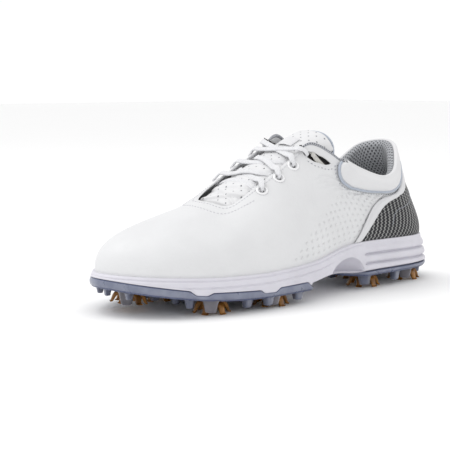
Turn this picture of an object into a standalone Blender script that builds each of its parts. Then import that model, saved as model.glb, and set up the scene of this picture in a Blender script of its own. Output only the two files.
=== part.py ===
"""Left golf shoe: spiked outsole, EVA midsole, leather upper, padded collar, tongue and lace.

Units are metres in Blender. The tables below are in millimetres and `put` scales them.
+X is the heel, -Y the outer (lateral) side, +Z up, and the cleat tips stand on z = 0.
Surface points are named by (a, v): a runs 0 to 1 from the toe tip along the lateral side to the
heel and 1 to 2 back along the medial side, v from the midsole (0) to the top edge (1).
"""

import math

import bmesh
import bpy
import numpy as np

# ---------------------------------------------------------------- tables (mm)
OUTLINE = [  # widest line of the sole, from the toe tip along the lateral side
    (-150, 7), (-145.3, -10.5), (-133.8, -26.8), (-114.5, -40.3), (-92, -48.5), (-72, -52.5), (-47, -54),
    (-22, -52.5), (8, -48.5), (38, -43.5), (68, -39.8), (98, -37.7), (118, -34.8), (133, -28.8),
    (144.5, -17), (150, 1.5), (144.5, 19.5), (133, 31.5), (118, 38), (98, 40.3), (68, 39.2),
    (38, 38.2), (8, 41), (-22, 47), (-47, 51.8), (-72, 54), (-92, 52.3), (-114.5, 46),
    (-132.5, 35), (-144.2, 22)]
HEEL_KEY = 15
SPRING_START, SPRING_TOE, SPRING_RISE = -64.0, -151.0, 9.8  # where the toe starts to lift, its tip, its lift
BALL_BOTTOM, HEEL_STEP = 12.8, 1.2  # underside of the midsole at the ball, and its step up to the heel
ARCH_X, ARCH_HALF, ARCH_RISE = 18.0, 32.0, 3.6  # hollow under the arch
LEAN_UP, LEAN_BACK, LEAN_SIDE = 2.7, -0.026, -0.031  # how the lasted upper sits on the sole


def toe_spring(x):
    """Rise of the sole towards the toe."""
    run = max(0.0, (SPRING_START - x) / (SPRING_START - SPRING_TOE))
    return SPRING_RISE * run ** 1.7


def underside(x):
    """Height of the midsole's underside: level at ball and heel, hollow at the arch, sprung at the toe."""
    step = min(1.0, max(0.0, (x + 10) / 70))
    hollow = 0.5 + 0.5 * math.cos(math.pi * min(1.0, abs(x - ARCH_X) / ARCH_HALF))
    return BALL_BOTTOM + HEEL_STEP * step * step * (3 - 2 * step) + ARCH_RISE * hollow + toe_spring(x)


def lean(x, y):
    """Change of height from leaning the upper forwards and to the side."""
    return LEAN_BACK * x + LEAN_SIDE * y


def leaned_top(rows):
    return [(a, x, y, z + LEAN_UP + lean(x, y)) for a, x, y, z in rows]


def leaned_handles(rows):
    return [(*row[:4], row[4], row[5], row[6] + lean(row[4], row[5])) for row in rows]


def rising_edge(foot, knee, level, power):
    """(a, v) of an edge that leaves the midsole at foot and bends over to a level line at knee."""
    steps = [i / 8 for i in range(9)]
    return [(foot + (knee - foot) * t, level * (1 - (1 - t) ** power)) for t in steps] + [(1.0, level)]


MID_TOP = [  # height of the midsole's top line along x
    (-160, 28), (-120, 26.3), (-90, 25), (-50, 24.9), (-20, 26.4), (0, 28), (15, 31), (30, 34), (45, 35.5),
    (60, 35.8), (150, 34.6)]
MID_BOTTOM = [(x, underside(x)) for x in range(-160, 153, 8)]
SPRING = [(x, toe_spring(x)) for x in range(-160, 1, 8)]
TOP_LATERAL = leaned_top([  # a, x, y, z of the throat, facing and topline
    (0.00, -64, 0, 66), (0.10, -63, -6.5, 65.5), (0.18, -61, -12.5, 64), (0.25, -55.5, -18, 64),
    (0.32, -44, -20, 70.5), (0.40, -29, -20.5, 79), (0.48, -14, -20, 87), (0.55, -2, -20, 94.5),
    (0.61, 6, -22, 101), (0.66, 14, -25, 104.5), (0.71, 27, -28.5, 99), (0.76, 42, -31.5, 89.5),
    (0.82, 62, -33.5, 81), (0.87, 80.5, -33, 77.5), (0.915, 97, -27.5, 83), (0.955, 109.5, -17, 94.5),
    (1.0, 118, 1, 104)])
TOP_MEDIAL = leaned_top([
    (0.10, -63, 6.5, 66.5), (0.18, -60.5, 12, 67), (0.25, -54, 17, 69.5), (0.32, -43, 20.5, 75),
    (0.40, -28, 21.5, 83), (0.48, -13, 21, 91.5), (0.55, 1, 20.5, 99), (0.61, 12, 21.5, 105.5),
    (0.67, 23, 24, 110), (0.72, 35, 28, 106), (0.77, 51, 32, 96), (0.82, 68, 34.5, 87),
    (0.87, 84.5, 33.5, 83.5), (0.91, 96, 29, 88.5), (0.945, 104.5, 22.5, 98), (0.975, 112, 13.5, 103)])
HANDLE_LATERAL = leaned_handles([  # a, inset of the upper's foot, out and up handles, x y z of the top handle
    (0.00, 3.5, 2, 22, -54, 0, -14), (0.12, 3.5, 1.5, 20, -40, -9, -14), (0.25, 3.5, 2, 22, -20, -14, -15),
    (0.40, 3.5, 2.5, 26, -4, -16, -14), (0.55, 4, 1.5, 25, 0, -16, -18), (0.66, 5, 2, 20, 3, -10, -23),
    (0.76, 5.5, 3, 16, 4, -6, -18), (0.87, 6.5, 3, 14, 6, -5, -14), (0.95, 8, 1, 18, 6, -2, -18),
    (1.0, 9, 0, 22, 6.5, 0, -20)])
HANDLE_MEDIAL = leaned_handles([
    (0.12, 3.5, 2.5, 24, -44, 6, -14), (0.25, 3.5, 2, 25, -20, 13, -15), (0.40, 3.5, 2, 27, -4, 16, -15),
    (0.55, 4, 0, 26, 0, 16, -20), (0.66, 5, 1, 22, 3, 10, -25), (0.76, 5.5, 3, 18, 4, 6, -20),
    (0.87, 6.5, 3, 16, 6, 5, -16), (0.95, 8, 1, 19, 6, 2, -18)])
PIPING = [  # a, v of the piping under the collar lobe: down the front, round the corner, back to the heel
    (0.74, 0.965), (0.72, 0.86), (0.70, 0.74), (0.69, 0.65), (0.71, 0.61), (0.78, 0.69), (0.84, 0.77),
    (0.885, 0.825), (0.92, 0.85), (0.96, 0.85), (1.0, 0.85)]
PANEL_TOP = rising_edge(0.66, 0.88, 0.71, 1.3)    # upper edge of the woven heel panel
BAND_TOP = rising_edge(0.64, 0.93, 0.82, 1.65)    # upper edge of the heel overlay
EYELETS = [(0.385 + 0.08 * i, 0.90 + 0.0125 * i) for i in range(3)]
GHILLIE = [(0.61, 0.95), (0.64, 0.88), (0.67, 0.845), (0.70, 0.86)]
TONGUE = [  # x, z and half width along the middle of the tongue's face
    (-78, 59, 14), (-70, 61.5, 17), (-62, 66, 20), (-54, 71, 23), (-46, 75.5, 25), (-38, 79.5, 26),
    (-28, 84.5, 27), (-14, 92, 26.5), (-2, 98, 24), (10, 104.5, 20), (21, 110, 20.5), (30, 114, 22.5),
    (36, 115.5, 23), (40, 116, 22.5)]
TONGUE_TILT = 0.04
CLEATS = [  # x, y, lift and backward tilt in degrees: five under the forefoot, four under the heel
    (-122, 9, 5.0, 7), (-84, -32, 0, 0), (-34, -35, 0, 0), (-82, 31, 0, 0), (-36, 31, 0, 0),
    (73, -20, 0, 0), (94, 14, 0, 0), (122, -16, 0, 0), (123, 19, 0, 0)]
PLATE_BOTTOM = 8.5
HEEL_BOTTOM = 10.2
TABS = [(-108, -96.5), (-57, -43)]  # x ranges where the midsole drops through the rim
FOREFOOT_END, HEEL_START = -9.0, 47.0

for old in list(bpy.data.objects):
    bpy.data.objects.remove(old, do_unlink=True)

SHOE = bpy.data.collections.new("golf_shoe")
TOOLS = bpy.data.collections.new("cutters")
bpy.context.scene.collection.children.link(SHOE)
bpy.context.scene.collection.children.link(TOOLS)


# ---------------------------------------------------------------- surface
class Loop:
    """Closed cubic spline through points p at parameters t."""

    def __init__(self, t, p, period):
        self.t, self.p, self.period = np.array(t, float), np.array(p, float), period
        n = len(self.t)
        h = np.diff(np.append(self.t, self.t[0] + period))
        left, right = np.zeros((n, n)), np.zeros_like(self.p)
        for i in range(n):
            j, k = (i - 1) % n, (i + 1) % n
            left[i, j] += h[j]
            left[i, i] += 2 * (h[j] + h[i])
            left[i, k] += h[i]
            right[i] = 6 * ((self.p[k] - self.p[i]) / h[i] - (self.p[i] - self.p[j]) / h[j])
        self.m = np.linalg.solve(left, right)

    def __call__(self, a):
        a = np.atleast_1d(np.asarray(a, float))
        u = (a - self.t[0]) % self.period + self.t[0]
        n = len(self.t)
        i = np.clip(np.searchsorted(self.t, u, side="right") - 1, 0, n - 1)
        j = (i + 1) % n
        end = np.where(i == n - 1, self.t[0] + self.period, self.t[j])
        h = (end - self.t[i])[:, None]
        q = (end - u)[:, None] / h
        r = 1 - q
        bend = ((q ** 3 - q) * self.m[i] + (r ** 3 - r) * self.m[j]) * h * h / 6
        return q * self.p[i] + r * self.p[j] + bend


def two_sides(lateral, medial):
    keys = [r[0] for r in lateral] + [2 - r[0] for r in reversed(medial)]
    return Loop(keys, [r[1:] for r in lateral] + [r[1:] for r in reversed(medial)], 2.0)


def arc_length():
    p = np.array(OUTLINE, float)
    s = np.concatenate([[0], np.cumsum(np.linalg.norm(np.roll(p, -1, 0) - p, axis=1))])
    loop = Loop(s[:-1], p, s[-1])
    grid = np.linspace(0, s[-1], 2001)
    fine = loop(grid)
    run = np.concatenate([[0], np.cumsum(np.linalg.norm(np.diff(fine, axis=0), axis=1))])
    heel = np.interp(s[HEEL_KEY], grid, run)
    return loop, grid, np.where(run <= heel, run / heel, 1 + (run - heel) / (run[-1] - heel))


OUT_LOOP, OUT_GRID, OUT_A = arc_length()
TOP_LOOP = two_sides(TOP_LATERAL, TOP_MEDIAL)
HANDLE_LOOP = two_sides(HANDLE_LATERAL, HANDLE_MEDIAL)


def outline(a, inset=0.0):
    """Points of the sole outline moved inwards, and the outward directions there."""
    a = np.atleast_1d(np.asarray(a, float)) % 2.0
    s = np.interp(a, OUT_A, OUT_GRID)
    t = OUT_LOOP(s + 0.5) - OUT_LOOP(s - 0.5)
    t /= np.linalg.norm(t, axis=1)[:, None]
    out = np.stack([t[:, 1], -t[:, 0]], 1)
    return OUT_LOOP(s) - out * np.broadcast_to(np.asarray(inset, float).reshape(-1, 1), (len(a), 1)), out


def height(table, x):
    """A height table along x, rounded off at its keys."""
    t = np.array(table, float)
    xs = np.linspace(t[0, 0], t[-1, 0], 400)
    k = np.exp(-0.5 * (np.arange(-12, 13) / 5.0) ** 2)
    v = np.convolve(np.pad(np.interp(xs, t[:, 0], t[:, 1]), 12, mode="edge"), k / k.sum(), mode="valid")
    return np.interp(x, xs, v)


def bare(a, v):
    """Points of the leather's outer face at matching a and v."""
    h = HANDLE_LOOP(a)
    foot, out = outline(a, h[:, 0])
    p0 = np.column_stack([foot, height(MID_TOP, foot[:, 0]) + 0.35])
    p1 = p0 + np.column_stack([out * h[:, 1:2], h[:, 2]])
    p3 = TOP_LOOP(a)
    p2 = p3 + h[:, 3:6]
    v = np.asarray(v, float).reshape(-1, 1)
    return (1 - v) ** 3 * p0 + 3 * v * (1 - v) ** 2 * p1 + 3 * v * v * (1 - v) * p2 + v ** 3 * p3


def skin(a, v, off=0.0, lift=0.0):
    """Points off the leather's outer face along its normal."""
    a, v = np.broadcast_arrays(np.atleast_1d(np.asarray(a, float)), np.atleast_1d(np.asarray(v, float)))
    e = 0.004
    hi, lo = np.minimum(v + e, 1.0), np.maximum(v - e, 0.0)
    n = np.cross(bare(a + e, v) - bare(a - e, v), bare(a, hi) - bare(a, lo))
    n /= np.linalg.norm(n, axis=1)[:, None]
    n[:, 2] *= np.clip(v / 0.15, 0, 1)
    n /= np.linalg.norm(n, axis=1)[:, None]
    p = bare(a, v) + n * np.asarray(off, float).reshape(-1, 1)
    p[:, 2] += lift
    return p


def line_at(table, a):
    """v of a lateral edge line at a, mirrored on the medial side."""
    t = np.array(table, float)
    return np.interp(1 - abs(np.asarray(a, float) - 1), t[:, 0], t[:, 1])


# ---------------------------------------------------------------- building
def material(name, colour, rough=0.5, metal=0.0, alpha=1.0, transmission=0.0):
    m = bpy.data.materials.new(name)
    m.use_nodes = True
    b = m.node_tree.nodes["Principled BSDF"]
    b.inputs["Base Color"].default_value = (*colour, 1)
    b.inputs["Roughness"].default_value = rough
    b.inputs["Metallic"].default_value = metal
    b.inputs["Alpha"].default_value = alpha
    b.inputs["Transmission Weight"].default_value = transmission
    return m


def put(name, verts, faces, mat, where=None):
    """One closed mesh object, its points given in mm."""
    mesh = bpy.data.meshes.new(name)
    mesh.from_pydata([tuple(float(c) * 0.001 for c in p) for p in verts], [], [tuple(f) for f in faces])
    bm = bmesh.new()
    bm.from_mesh(mesh)
    bmesh.ops.remove_doubles(bm, verts=bm.verts, dist=1e-6)
    bmesh.ops.recalc_face_normals(bm, faces=bm.faces)
    bm.to_mesh(mesh)
    bm.free()
    mesh.materials.append(mat)
    ob = bpy.data.objects.new(name, mesh)
    (where or SHOE).objects.link(ob)
    if where is not None:
        ob.hide_render = True
        ob.display_type = "WIRE"
    return ob


def skin_body(outer, inner, closed=False):
    """Verts and faces of a sheet between two equal grids of points (rows x columns x 3)."""
    m, k = outer.shape[:2]
    verts = np.concatenate([outer.reshape(-1, 3), inner.reshape(-1, 3)])
    faces, size = [], m * k
    for i in range(m if closed else m - 1):
        j = (i + 1) % m
        for c in range(k - 1):
            q = (i * k + c, j * k + c, j * k + c + 1, i * k + c + 1)
            faces.append(q)
            faces.append(tuple(size + x for x in reversed(q)))
        faces.append((j * k, i * k, size + i * k, size + j * k))
        faces.append((i * k + k - 1, j * k + k - 1, size + j * k + k - 1, size + i * k + k - 1))
    if not closed:
        for c in range(k - 1):
            faces.append((c, c + 1, size + c + 1, size + c))
            b = (m - 1) * k
            faces.append((b + c + 1, b + c, size + b + c, size + b + c + 1))
    return verts, faces


def layer(name, a, low, high, rows, outer, inner, mat, closed=False, lift=0.0):
    """A layer of the upper between the v lines low(a) and high(a) and two offsets."""
    a = np.asarray(a, float)
    lo = low(a) if callable(low) else np.full(len(a), float(low))
    hi = high(a) if callable(high) else np.full(len(a), float(high))
    f = np.linspace(0, 1, rows)
    grids = []
    for off in (outer, inner):
        aa = np.repeat(a, rows)
        vv = (lo[:, None] + (hi - lo)[:, None] * f).ravel()
        o = off(aa, np.tile(f, len(a))) if callable(off) else off
        up = lift * np.tile(f, len(a)) ** 4 if not callable(lift) else lift(aa, np.tile(f, len(a)))
        grids.append(skin(aa, vv, o, up).reshape(len(a), rows, 3))
    return put(name, *skin_body(*grids, closed=closed), mat)


def tube(name, path, mat, half, across=6, frame_up=None, width_to=None):
    """Sweep of an elliptical section; half is (width, thickness) per point or one pair."""
    p = np.asarray(path, float)
    n = len(p)
    half = np.broadcast_to(np.asarray(half, float), (n, 2))
    t = np.gradient(p, axis=0)
    t /= np.linalg.norm(t, axis=1)[:, None]
    up = np.broadcast_to(np.array((0, 0, 1.0)) if frame_up is None else frame_up, (n, 3))
    side = np.cross(t, up) if width_to is None else width_to - t * (width_to * t).sum(1)[:, None]
    side /= np.maximum(np.linalg.norm(side, axis=1), 1e-9)[:, None]
    nor = np.cross(side, t)
    ring = [2 * math.pi * (i + 0.5) / across for i in range(across)]
    verts = [p[i] + side[i] * half[i, 0] * math.cos(r) + nor[i] * half[i, 1] * math.sin(r)
             for i in range(n) for r in ring]
    faces = []
    for i in range(n - 1):
        for c in range(across):
            d = (c + 1) % across
            faces.append((i * across + c, i * across + d, (i + 1) * across + d, (i + 1) * across + c))
    faces.append(tuple(range(across))[::-1])
    faces.append(tuple((n - 1) * across + c for c in range(across)))
    return put(name, verts, faces, mat)


def lathe(name, profile, mat, centre, sides=20, axis=None, where=None):
    """Closed ring or solid of revolution; profile is (radius, height) pairs."""
    z = np.array((0, 0, 1.0)) if axis is None else np.asarray(axis, float) / np.linalg.norm(axis)
    x = np.cross(z, (0.3, 1, 0.2))
    x /= np.linalg.norm(x)
    y = np.cross(z, x)
    verts, faces, n = [], [], len(profile)
    rows = []
    for r, h in profile:
        if r < 1e-6:
            rows.append([len(verts)] * sides)
            verts.append(np.asarray(centre, float) + z * h)
        else:
            rows.append(list(range(len(verts), len(verts) + sides)))
            for i in range(sides):
                t = 2 * math.pi * i / sides
                verts.append(np.asarray(centre, float) + z * h + (x * math.cos(t) + y * math.sin(t)) * r)
    solid = profile[0][0] < 1e-6
    for k in range(n - 1 if solid else n):
        a, b = rows[k], rows[(k + 1) % n]
        for i in range(sides):
            j = (i + 1) % sides
            f = []
            for v in (a[i], a[j], b[j], b[i]):
                if v not in f:
                    f.append(v)
            if len(f) > 2:
                faces.append(tuple(f))
    return put(name, verts, faces, mat, where)


def slab(name, s, rings, mat, where=None):
    """Solid between stacked outlines; a ring is (inset(a, p), height(p)) from bottom to top."""
    count = len(s)
    head, tail = s[0] == 0, s[-1] == 1
    lat = s
    med = (2 - s)[::-1]
    if tail:
        med = med[1:]
    if head:
        med = med[:-1]
    a = np.concatenate([lat, med])
    n = len(a)
    verts = []
    for inset, z in rings:
        base, _ = outline(a)
        p, out = outline(a, inset(a, base) if callable(inset) else inset)
        verts.append(np.column_stack([p, z(p) if callable(z) else np.full(n, float(z))]))
    faces = []
    for r in range(len(rings) - 1):
        for i in range(n):
            j = (i + 1) % n
            faces.append((r * n + i, r * n + j, (r + 1) * n + j, (r + 1) * n + i))
    pair = [(i, (n - i) % n if head else n - 1 - i) for i in range(count)]
    if tail:
        pair[-1] = (count - 1, count - 1)
    for base, flip in ((0, True), ((len(rings) - 1) * n, False)):
        for (i, p), (j, q) in zip(pair[:-1], pair[1:]):
            f = []
            for v in (i, j, q, p):
                if v not in f:
                    f.append(v)
            f = tuple(base + v for v in f)
            faces.append(f[::-1] if flip else f)
    return put(name, np.concatenate(verts), faces, mat, where)


def boolean(ob, tool, kind="DIFFERENCE"):
    m = ob.modifiers.new(tool.name, "BOOLEAN")
    m.operation, m.solver, m.object = kind, "EXACT", tool


def joined(name, obs, mat):
    """Several separate closed meshes as one tool."""
    verts, faces = [], []
    for ob in obs:
        base = len(verts)
        verts += [tuple(c * 1000 for c in v.co) for v in ob.data.vertices]
        faces += [tuple(base + i for i in p.vertices) for p in ob.data.polygons]
        bpy.data.objects.remove(ob, do_unlink=True)
    return put(name, verts, faces, mat, TOOLS)


# ---------------------------------------------------------------- materials
LEATHER = material("white_leather", (0.86, 0.86, 0.87), 0.42)
LEATHER_HEEL = material("white_heel_overlay", (0.84, 0.84, 0.86), 0.40)
LOBE = material("white_collar_leather", (0.87, 0.87, 0.88), 0.45)
FACE = material("white_tongue_leather", (0.86, 0.86, 0.87), 0.45)
WOVEN = material("charcoal_woven_panel", (0.06, 0.06, 0.065), 0.35)
MESH = material("grey_mesh_lining", (0.32, 0.34, 0.37), 0.85)
MESH_TONGUE = material("grey_mesh_tongue", (0.34, 0.36, 0.39), 0.85)
MESH_COLLAR = material("grey_mesh_collar", (0.30, 0.32, 0.35), 0.85)
PIPE = material("blue_grey_piping", (0.42, 0.48, 0.56), 0.6)
PIPE_TONGUE = material("blue_grey_tongue_binding", (0.40, 0.45, 0.52), 0.6)
FOAM = material("collar_foam", (0.80, 0.79, 0.72), 0.95)
FOAM_TONGUE = material("tongue_foam", (0.80, 0.79, 0.70), 0.95)
COUNTER = material("counter_board", (0.55, 0.50, 0.42), 0.8)
PUFF = material("toe_puff_sheet", (0.58, 0.54, 0.46), 0.8)
BOARD = material("insole_board_fibre", (0.62, 0.52, 0.38), 0.85)
FILLER = material("cork_filler", (0.50, 0.34, 0.20), 0.9)
STEEL = material("steel_shank", (0.55, 0.56, 0.58), 0.35, 1.0)
SOCK = material("grey_sockliner", (0.30, 0.31, 0.33), 0.85)
EVA = material("white_eva_midsole", (0.84, 0.84, 0.90), 0.55)
TPU = material("blue_grey_tpu_forefoot", (0.22, 0.26, 0.38), 0.25, transmission=0.3)
TPU_HEEL = material("blue_grey_tpu_heel", (0.20, 0.24, 0.36), 0.25, transmission=0.3)
RECEPTACLE = material("black_nylon_receptacle", (0.05, 0.05, 0.06), 0.45)
AMBER = material("amber_cleat", (0.75, 0.38, 0.06), 0.25, transmission=0.4)
RIM = material("white_enamel_eyelet", (0.88, 0.88, 0.90), 0.3)
LACE = material("white_lace", (0.88, 0.88, 0.90), 0.8)
AGLET = material("clear_aglet", (0.80, 0.82, 0.84), 0.2)
WEB = material("white_webbing", (0.84, 0.84, 0.86), 0.8)
KEEPER = material("white_lace_keeper", (0.85, 0.85, 0.87), 0.5)


# ---------------------------------------------------------------- sole
def a_at(x):
    a = np.linspace(0, 1, 400)
    return float(np.interp(x, outline(a)[0][:, 0], a))


arch_end, heel_begin = a_at(FOREFOOT_END), a_at(HEEL_START)
tab_keys = [a_at(x) for lo, hi in TABS for x in (lo - 2.2, lo + 2.4, hi - 2.4, hi + 2.2)]
SOLE = np.concatenate([np.linspace(0, tab_keys[0], 8)[:-1], tab_keys[:4],
                       np.linspace(tab_keys[3], tab_keys[4], 5)[1:-1], tab_keys[4:],
                       np.linspace(tab_keys[7], arch_end, 5)[1:], [arch_end + 0.012],
                       np.linspace(arch_end + 0.012, heel_begin, 6)[1:],
                       np.linspace(heel_begin, a_at(58), 4)[1:], np.linspace(a_at(58), 1, 9)[1:]])


def tab_amount(base, inner=0.0):
    """1 inside a tab's range of x, 0 well outside it."""
    return np.array([max(0.0, max(min((v - lo + 2.2 - inner) / 3, (hi + 2.2 - inner - v) / 3, 1.0)
                                  for lo, hi in TABS)) for v in base[:, 0]])


def rim_height(p):
    """Top of the outsole's upstanding rim: high at the toe, gone at the tabs."""
    x = p[:, 0]
    high = np.interp(x, [-151, -140, -120, -96, -60, -43, -18, -11],
                     [24.9, 22.9, 19.6, 15.9, 14.6, 14.6, 15.0, 12.8])
    low = 12.6 + height(SPRING, x)
    return high + (low - high) * tab_amount(p)


def side_inset(a, base):
    """The midsole stands inside the rim and comes out over it at the tabs, the arch and the heel."""
    rim = (base[:, 0] < FOREFOOT_END + 0.5).astype(float)
    return np.where(rim > 0, 3.6 - 2.8 * tab_amount(base, 1.6), 1.6)


def mid_low(p):
    x = p[:, 0]
    z = height(MID_BOTTOM, x)
    return np.where(x < FOREFOOT_END + 4, np.maximum(rim_height(p) + 0.6, z + 1.0), z + 1.6)


midsole = slab("midsole", SOLE, [
    (lambda a, b: np.where(b[:, 0] < FOREFOOT_END + 0.5, 3.9, 1.8), lambda p: height(MID_BOTTOM, p[:, 0])),
    (side_inset, mid_low),
    (lambda a, b: np.where(b[:, 0] < 0, 0.8, 0.2), lambda p: mid_low(p) + 0.8),
    (lambda a, b: np.where(b[:, 0] < 0, 1.2, 1.0),
     lambda p: 0.45 * (mid_low(p) + 0.8) + 0.55 * height(MID_TOP, p[:, 0])),
    (lambda a, b: np.interp(b[:, 0], [0, 60, 110, 151], [2.2, 3.0, 3.6, 5.5]),
     lambda p: height(MID_TOP, p[:, 0]) - 0.8),
    (lambda a, b: np.interp(b[:, 0], [0, 60, 110, 151], [2.8, 3.8, 4.6, 6.5]),
     lambda p: height(MID_TOP, p[:, 0]))], EVA)

scoop = lathe("arch_scoop", [(0, -12), (15, -12), (19, 0), (15, 10), (0, 13)], EVA, (35, -46, 9.5), 14,
              axis=(0.05, -1, 0.25), where=TOOLS)
boolean(midsole, scoop)


def forefoot_z(add):
    """Height above the forefoot plate's underside, which rises towards the toe."""
    return lambda p: PLATE_BOTTOM + add + height(SPRING, p[:, 0])


forefoot = slab("outsole_forefoot", SOLE[SOLE <= arch_end], [
    (3.2, forefoot_z(0)),
    (0.6, forefoot_z(1.0)),
    (0.0, lambda p: 0.5 * forefoot_z(1.0)(p) + 0.5 * (rim_height(p) - 0.4)),
    (0.5, lambda p: rim_height(p) - 0.6),
    (2.0, lambda p: rim_height(p) - 0.6),
    (2.6, lambda p: height(MID_BOTTOM, p[:, 0]) - 0.9)], TPU)


def nose(add):
    """Inset of the heel plate, which narrows to a nose under the arch."""
    return lambda a, base: add + 20 * np.clip((58 - base[:, 0]) / 11, 0, 1) ** 1.5


heel_plate = slab("outsole_heel", SOLE[SOLE >= heel_begin], [
    (nose(3.0), HEEL_BOTTOM), (nose(0.9), HEEL_BOTTOM + 0.9),
    (nose(0.9), lambda p: height(MID_BOTTOM, p[:, 0]) - 1.0),
    (nose(1.6), lambda p: height(MID_BOTTOM, p[:, 0]) - 0.4)], TPU_HEEL)

# traction lugs, tapered blocks joined to each plate
LUGS_FORE = [(-137, -12, 20), (-141, 6, 0), (-136, 22, -20), (-104, -34, 40), (-106, 38, -40),
             (-98, -12, 30), (-100, 18, -30), (-64, -45, 10), (-62, 45, -10), (-48, -48, 0),
             (-52, 46, 0), (-18, -45, 0), (-16, 40, 0), (-60, 22, 20), (-36, 6, 0), (-104, 4, 0),
             (-84, 0, 0), (-16, -16, 0), (-18, 20, 0), (-66, -18, 0)]
LUGS_HEEL = [(62.5, -31.5, -40), (66, 32, 0), (96, -31, 10), (98, 34, -10), (140, -13, 60), (141, 14, -60),
             (103, -7, 0), (66, 6, 0)]


def lug(x, y, turn, rise, top):
    c, s = math.cos(math.radians(turn)), math.sin(math.radians(turn))
    rows = []
    for w, d, z in ((2.0, 1.4, 2.6 + rise), (3.0, 2.4, 3.4 + rise), (4.6, 3.8, top)):
        rows += [(x + c * i * w - s * j * d, y + s * i * w + c * j * d, z)
                 for i, j in ((-1, -1), (1, -1), (1, 1), (-1, 1))]
    faces = [(3, 2, 1, 0), (8, 9, 10, 11)]
    for r in (0, 4):
        faces += [(r + i, r + (i + 1) % 4, r + 4 + (i + 1) % 4, r + 4 + i) for i in range(4)]
    return put("lug", rows, faces, TPU, TOOLS)


def spring(x):
    return float(height(SPRING, x))


fore_lugs = [lug(x, y, turn, spring(x), PLATE_BOTTOM + 1.4 + spring(x)) for x, y, turn in LUGS_FORE]
heel_lugs = [lug(x, y, turn, 0, HEEL_BOTTOM + 1.2) for x, y, turn in LUGS_HEEL]
BOSS = [(0, PLATE_BOTTOM), (9.6, PLATE_BOTTOM), (10.4, HEEL_BOTTOM + 1.2), (0, HEEL_BOTTOM + 1.2)]
bosses = [lathe("boss", BOSS, TPU, (x, y, 0), 12, where=TOOLS) for x, y, lift, tilt in CLEATS if x > 40]
boolean(forefoot, joined("lugs_fore", fore_lugs, TPU), "UNION")
boolean(heel_plate, joined("lugs_heel", heel_lugs, TPU), "UNION")
boolean(heel_plate, joined("bosses", bosses, TPU), "UNION")

# cleats on quarter-turn receptacles let into the plates
POCKET = 8.3


def cleat_frame(x, y, lift, tilt):
    """Origin and axes of a cleat's own frame, whose third axis is the one it turns about."""
    s, c = math.sin(math.radians(tilt)), math.cos(math.radians(tilt))
    return np.array((x, y, lift)), np.array(((c, 0, -s), (0, 1, 0), (s, 0, c)))


for plate, tag, low, high in ((forefoot, "fore", -200, 40), (heel_plate, "heel", 40, 200)):
    tools = []
    for c in CLEATS:
        if low < c[0] < high:
            origin, axes = cleat_frame(*c)
            tools.append(lathe("pocket", [(0, 5.0), (POCKET, 5.0), (POCKET, 11.4), (0, 11.4)], TPU, origin, 12,
                               axes[2], where=TOOLS))
    boolean(plate, joined("pockets_" + tag, tools, TPU))

for i, place in enumerate(CLEATS, 1):
    origin, axes = cleat_frame(*place)
    lathe(f"receptacle_{i}", [(POCKET - 0.4, 8.2), (POCKET - 0.4, 11.0), (4.6, 11.0), (4.6, 8.2)],
          RECEPTACLE, origin, 12, axes[2])
    hub = lathe(f"cleat_{i}", [(0, 4.6), (3.0, 4.6), (7.6, 5.6), (8.2, 7.9), (4.1, 7.9), (4.1, 10.4),
                               (0, 10.4)], AMBER, origin, 12, axes[2])
    legs = []
    for k in range(6):
        t = 2 * math.pi * (k + 0.5) / 6
        d, w = np.array((math.cos(t), math.sin(t), 0)), np.array((-math.sin(t), math.cos(t), 0))
        rows = []
        for r, z, wide, thick in ((5.0, 6.3, 1.9, 1.1), (9.6, 5.4, 1.7, 1.2), (11.8, 0.0, 1.9, 1.3)):
            c = np.array((0, 0, z)) + d * r
            for u, o in ((-1, -1), (1, -1), (1, 1), (-1, 1)):
                off = -d * o * thick if r > 9 else np.array((0, 0, -o * thick))
                rows.append(origin + (c + w * u * wide + off) @ axes)
        faces = [(3, 2, 1, 0), (8, 9, 10, 11)]
        for r in (0, 4):
            faces += [(r + a, r + (a + 1) % 4, r + 4 + (a + 1) % 4, r + 4 + a) for a in range(4)]
        legs.append(put("leg", rows, faces, AMBER, TOOLS))
    boolean(hub, joined(f"legs_{i}", legs, AMBER), "UNION")

# ---------------------------------------------------------------- foot bed
BED = np.linspace(0, 1, 23)


def floor(add):
    return lambda p: height(MID_TOP, p[:, 0]) + add


def bed(add):
    return lambda a, base: HANDLE_LOOP(a)[:, 0] + add


slab("bottom_filler", np.linspace(0.14, 0.5, 8), [(bed(11), floor(0.3)), (bed(11), floor(1.8))], FILLER)
shank_rows = [(x, s * 7.0, float(height(MID_TOP, x)) + z) for z in (0.3, 1.6) for x in np.linspace(12, 96, 7)
              for s in (-1, 1)]
shank_faces = []
for i in range(6):
    b, t = 2 * i, 14 + 2 * i
    shank_faces += [(b + 1, b, b + 2, b + 3), (t, t + 1, t + 3, t + 2),
                    (b, t, t + 2, b + 2), (b + 1, b + 3, t + 3, t + 1)]
shank_faces += [(0, 1, 15, 14), (12, 26, 27, 13)]
put("shank", shank_rows, shank_faces, STEEL)
slab("insole_board", BED, [(bed(5.9), floor(2.1)), (bed(5.9), floor(3.4))], BOARD)
slab("sockliner", BED, [(bed(6.9), floor(3.7)), (bed(6.6), floor(5.4)), (bed(7.7), floor(7.2))], SOCK)

# ---------------------------------------------------------------- upper
STATIONS = np.array([0, .04, .08, .12, .16, .20, .24, .28, .32, .36, .40, .44, .48, .52, .56, .60,
                     .63, .66, .69, .72, .75, .78, .81, .84, .87, .895, .92, .945, .97, 1.0])


def sides(half):
    return np.concatenate([half, (2 - half[:-1])[::-1]])


def between(lo, hi):
    """The shared stations of the lateral side from lo to hi, carried round the heel."""
    return sides(STATIONS[(STATIONS > lo - 1e-6) & (STATIONS < hi + 1e-6)])


ALL = sides(STATIONS)[:-1]

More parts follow.
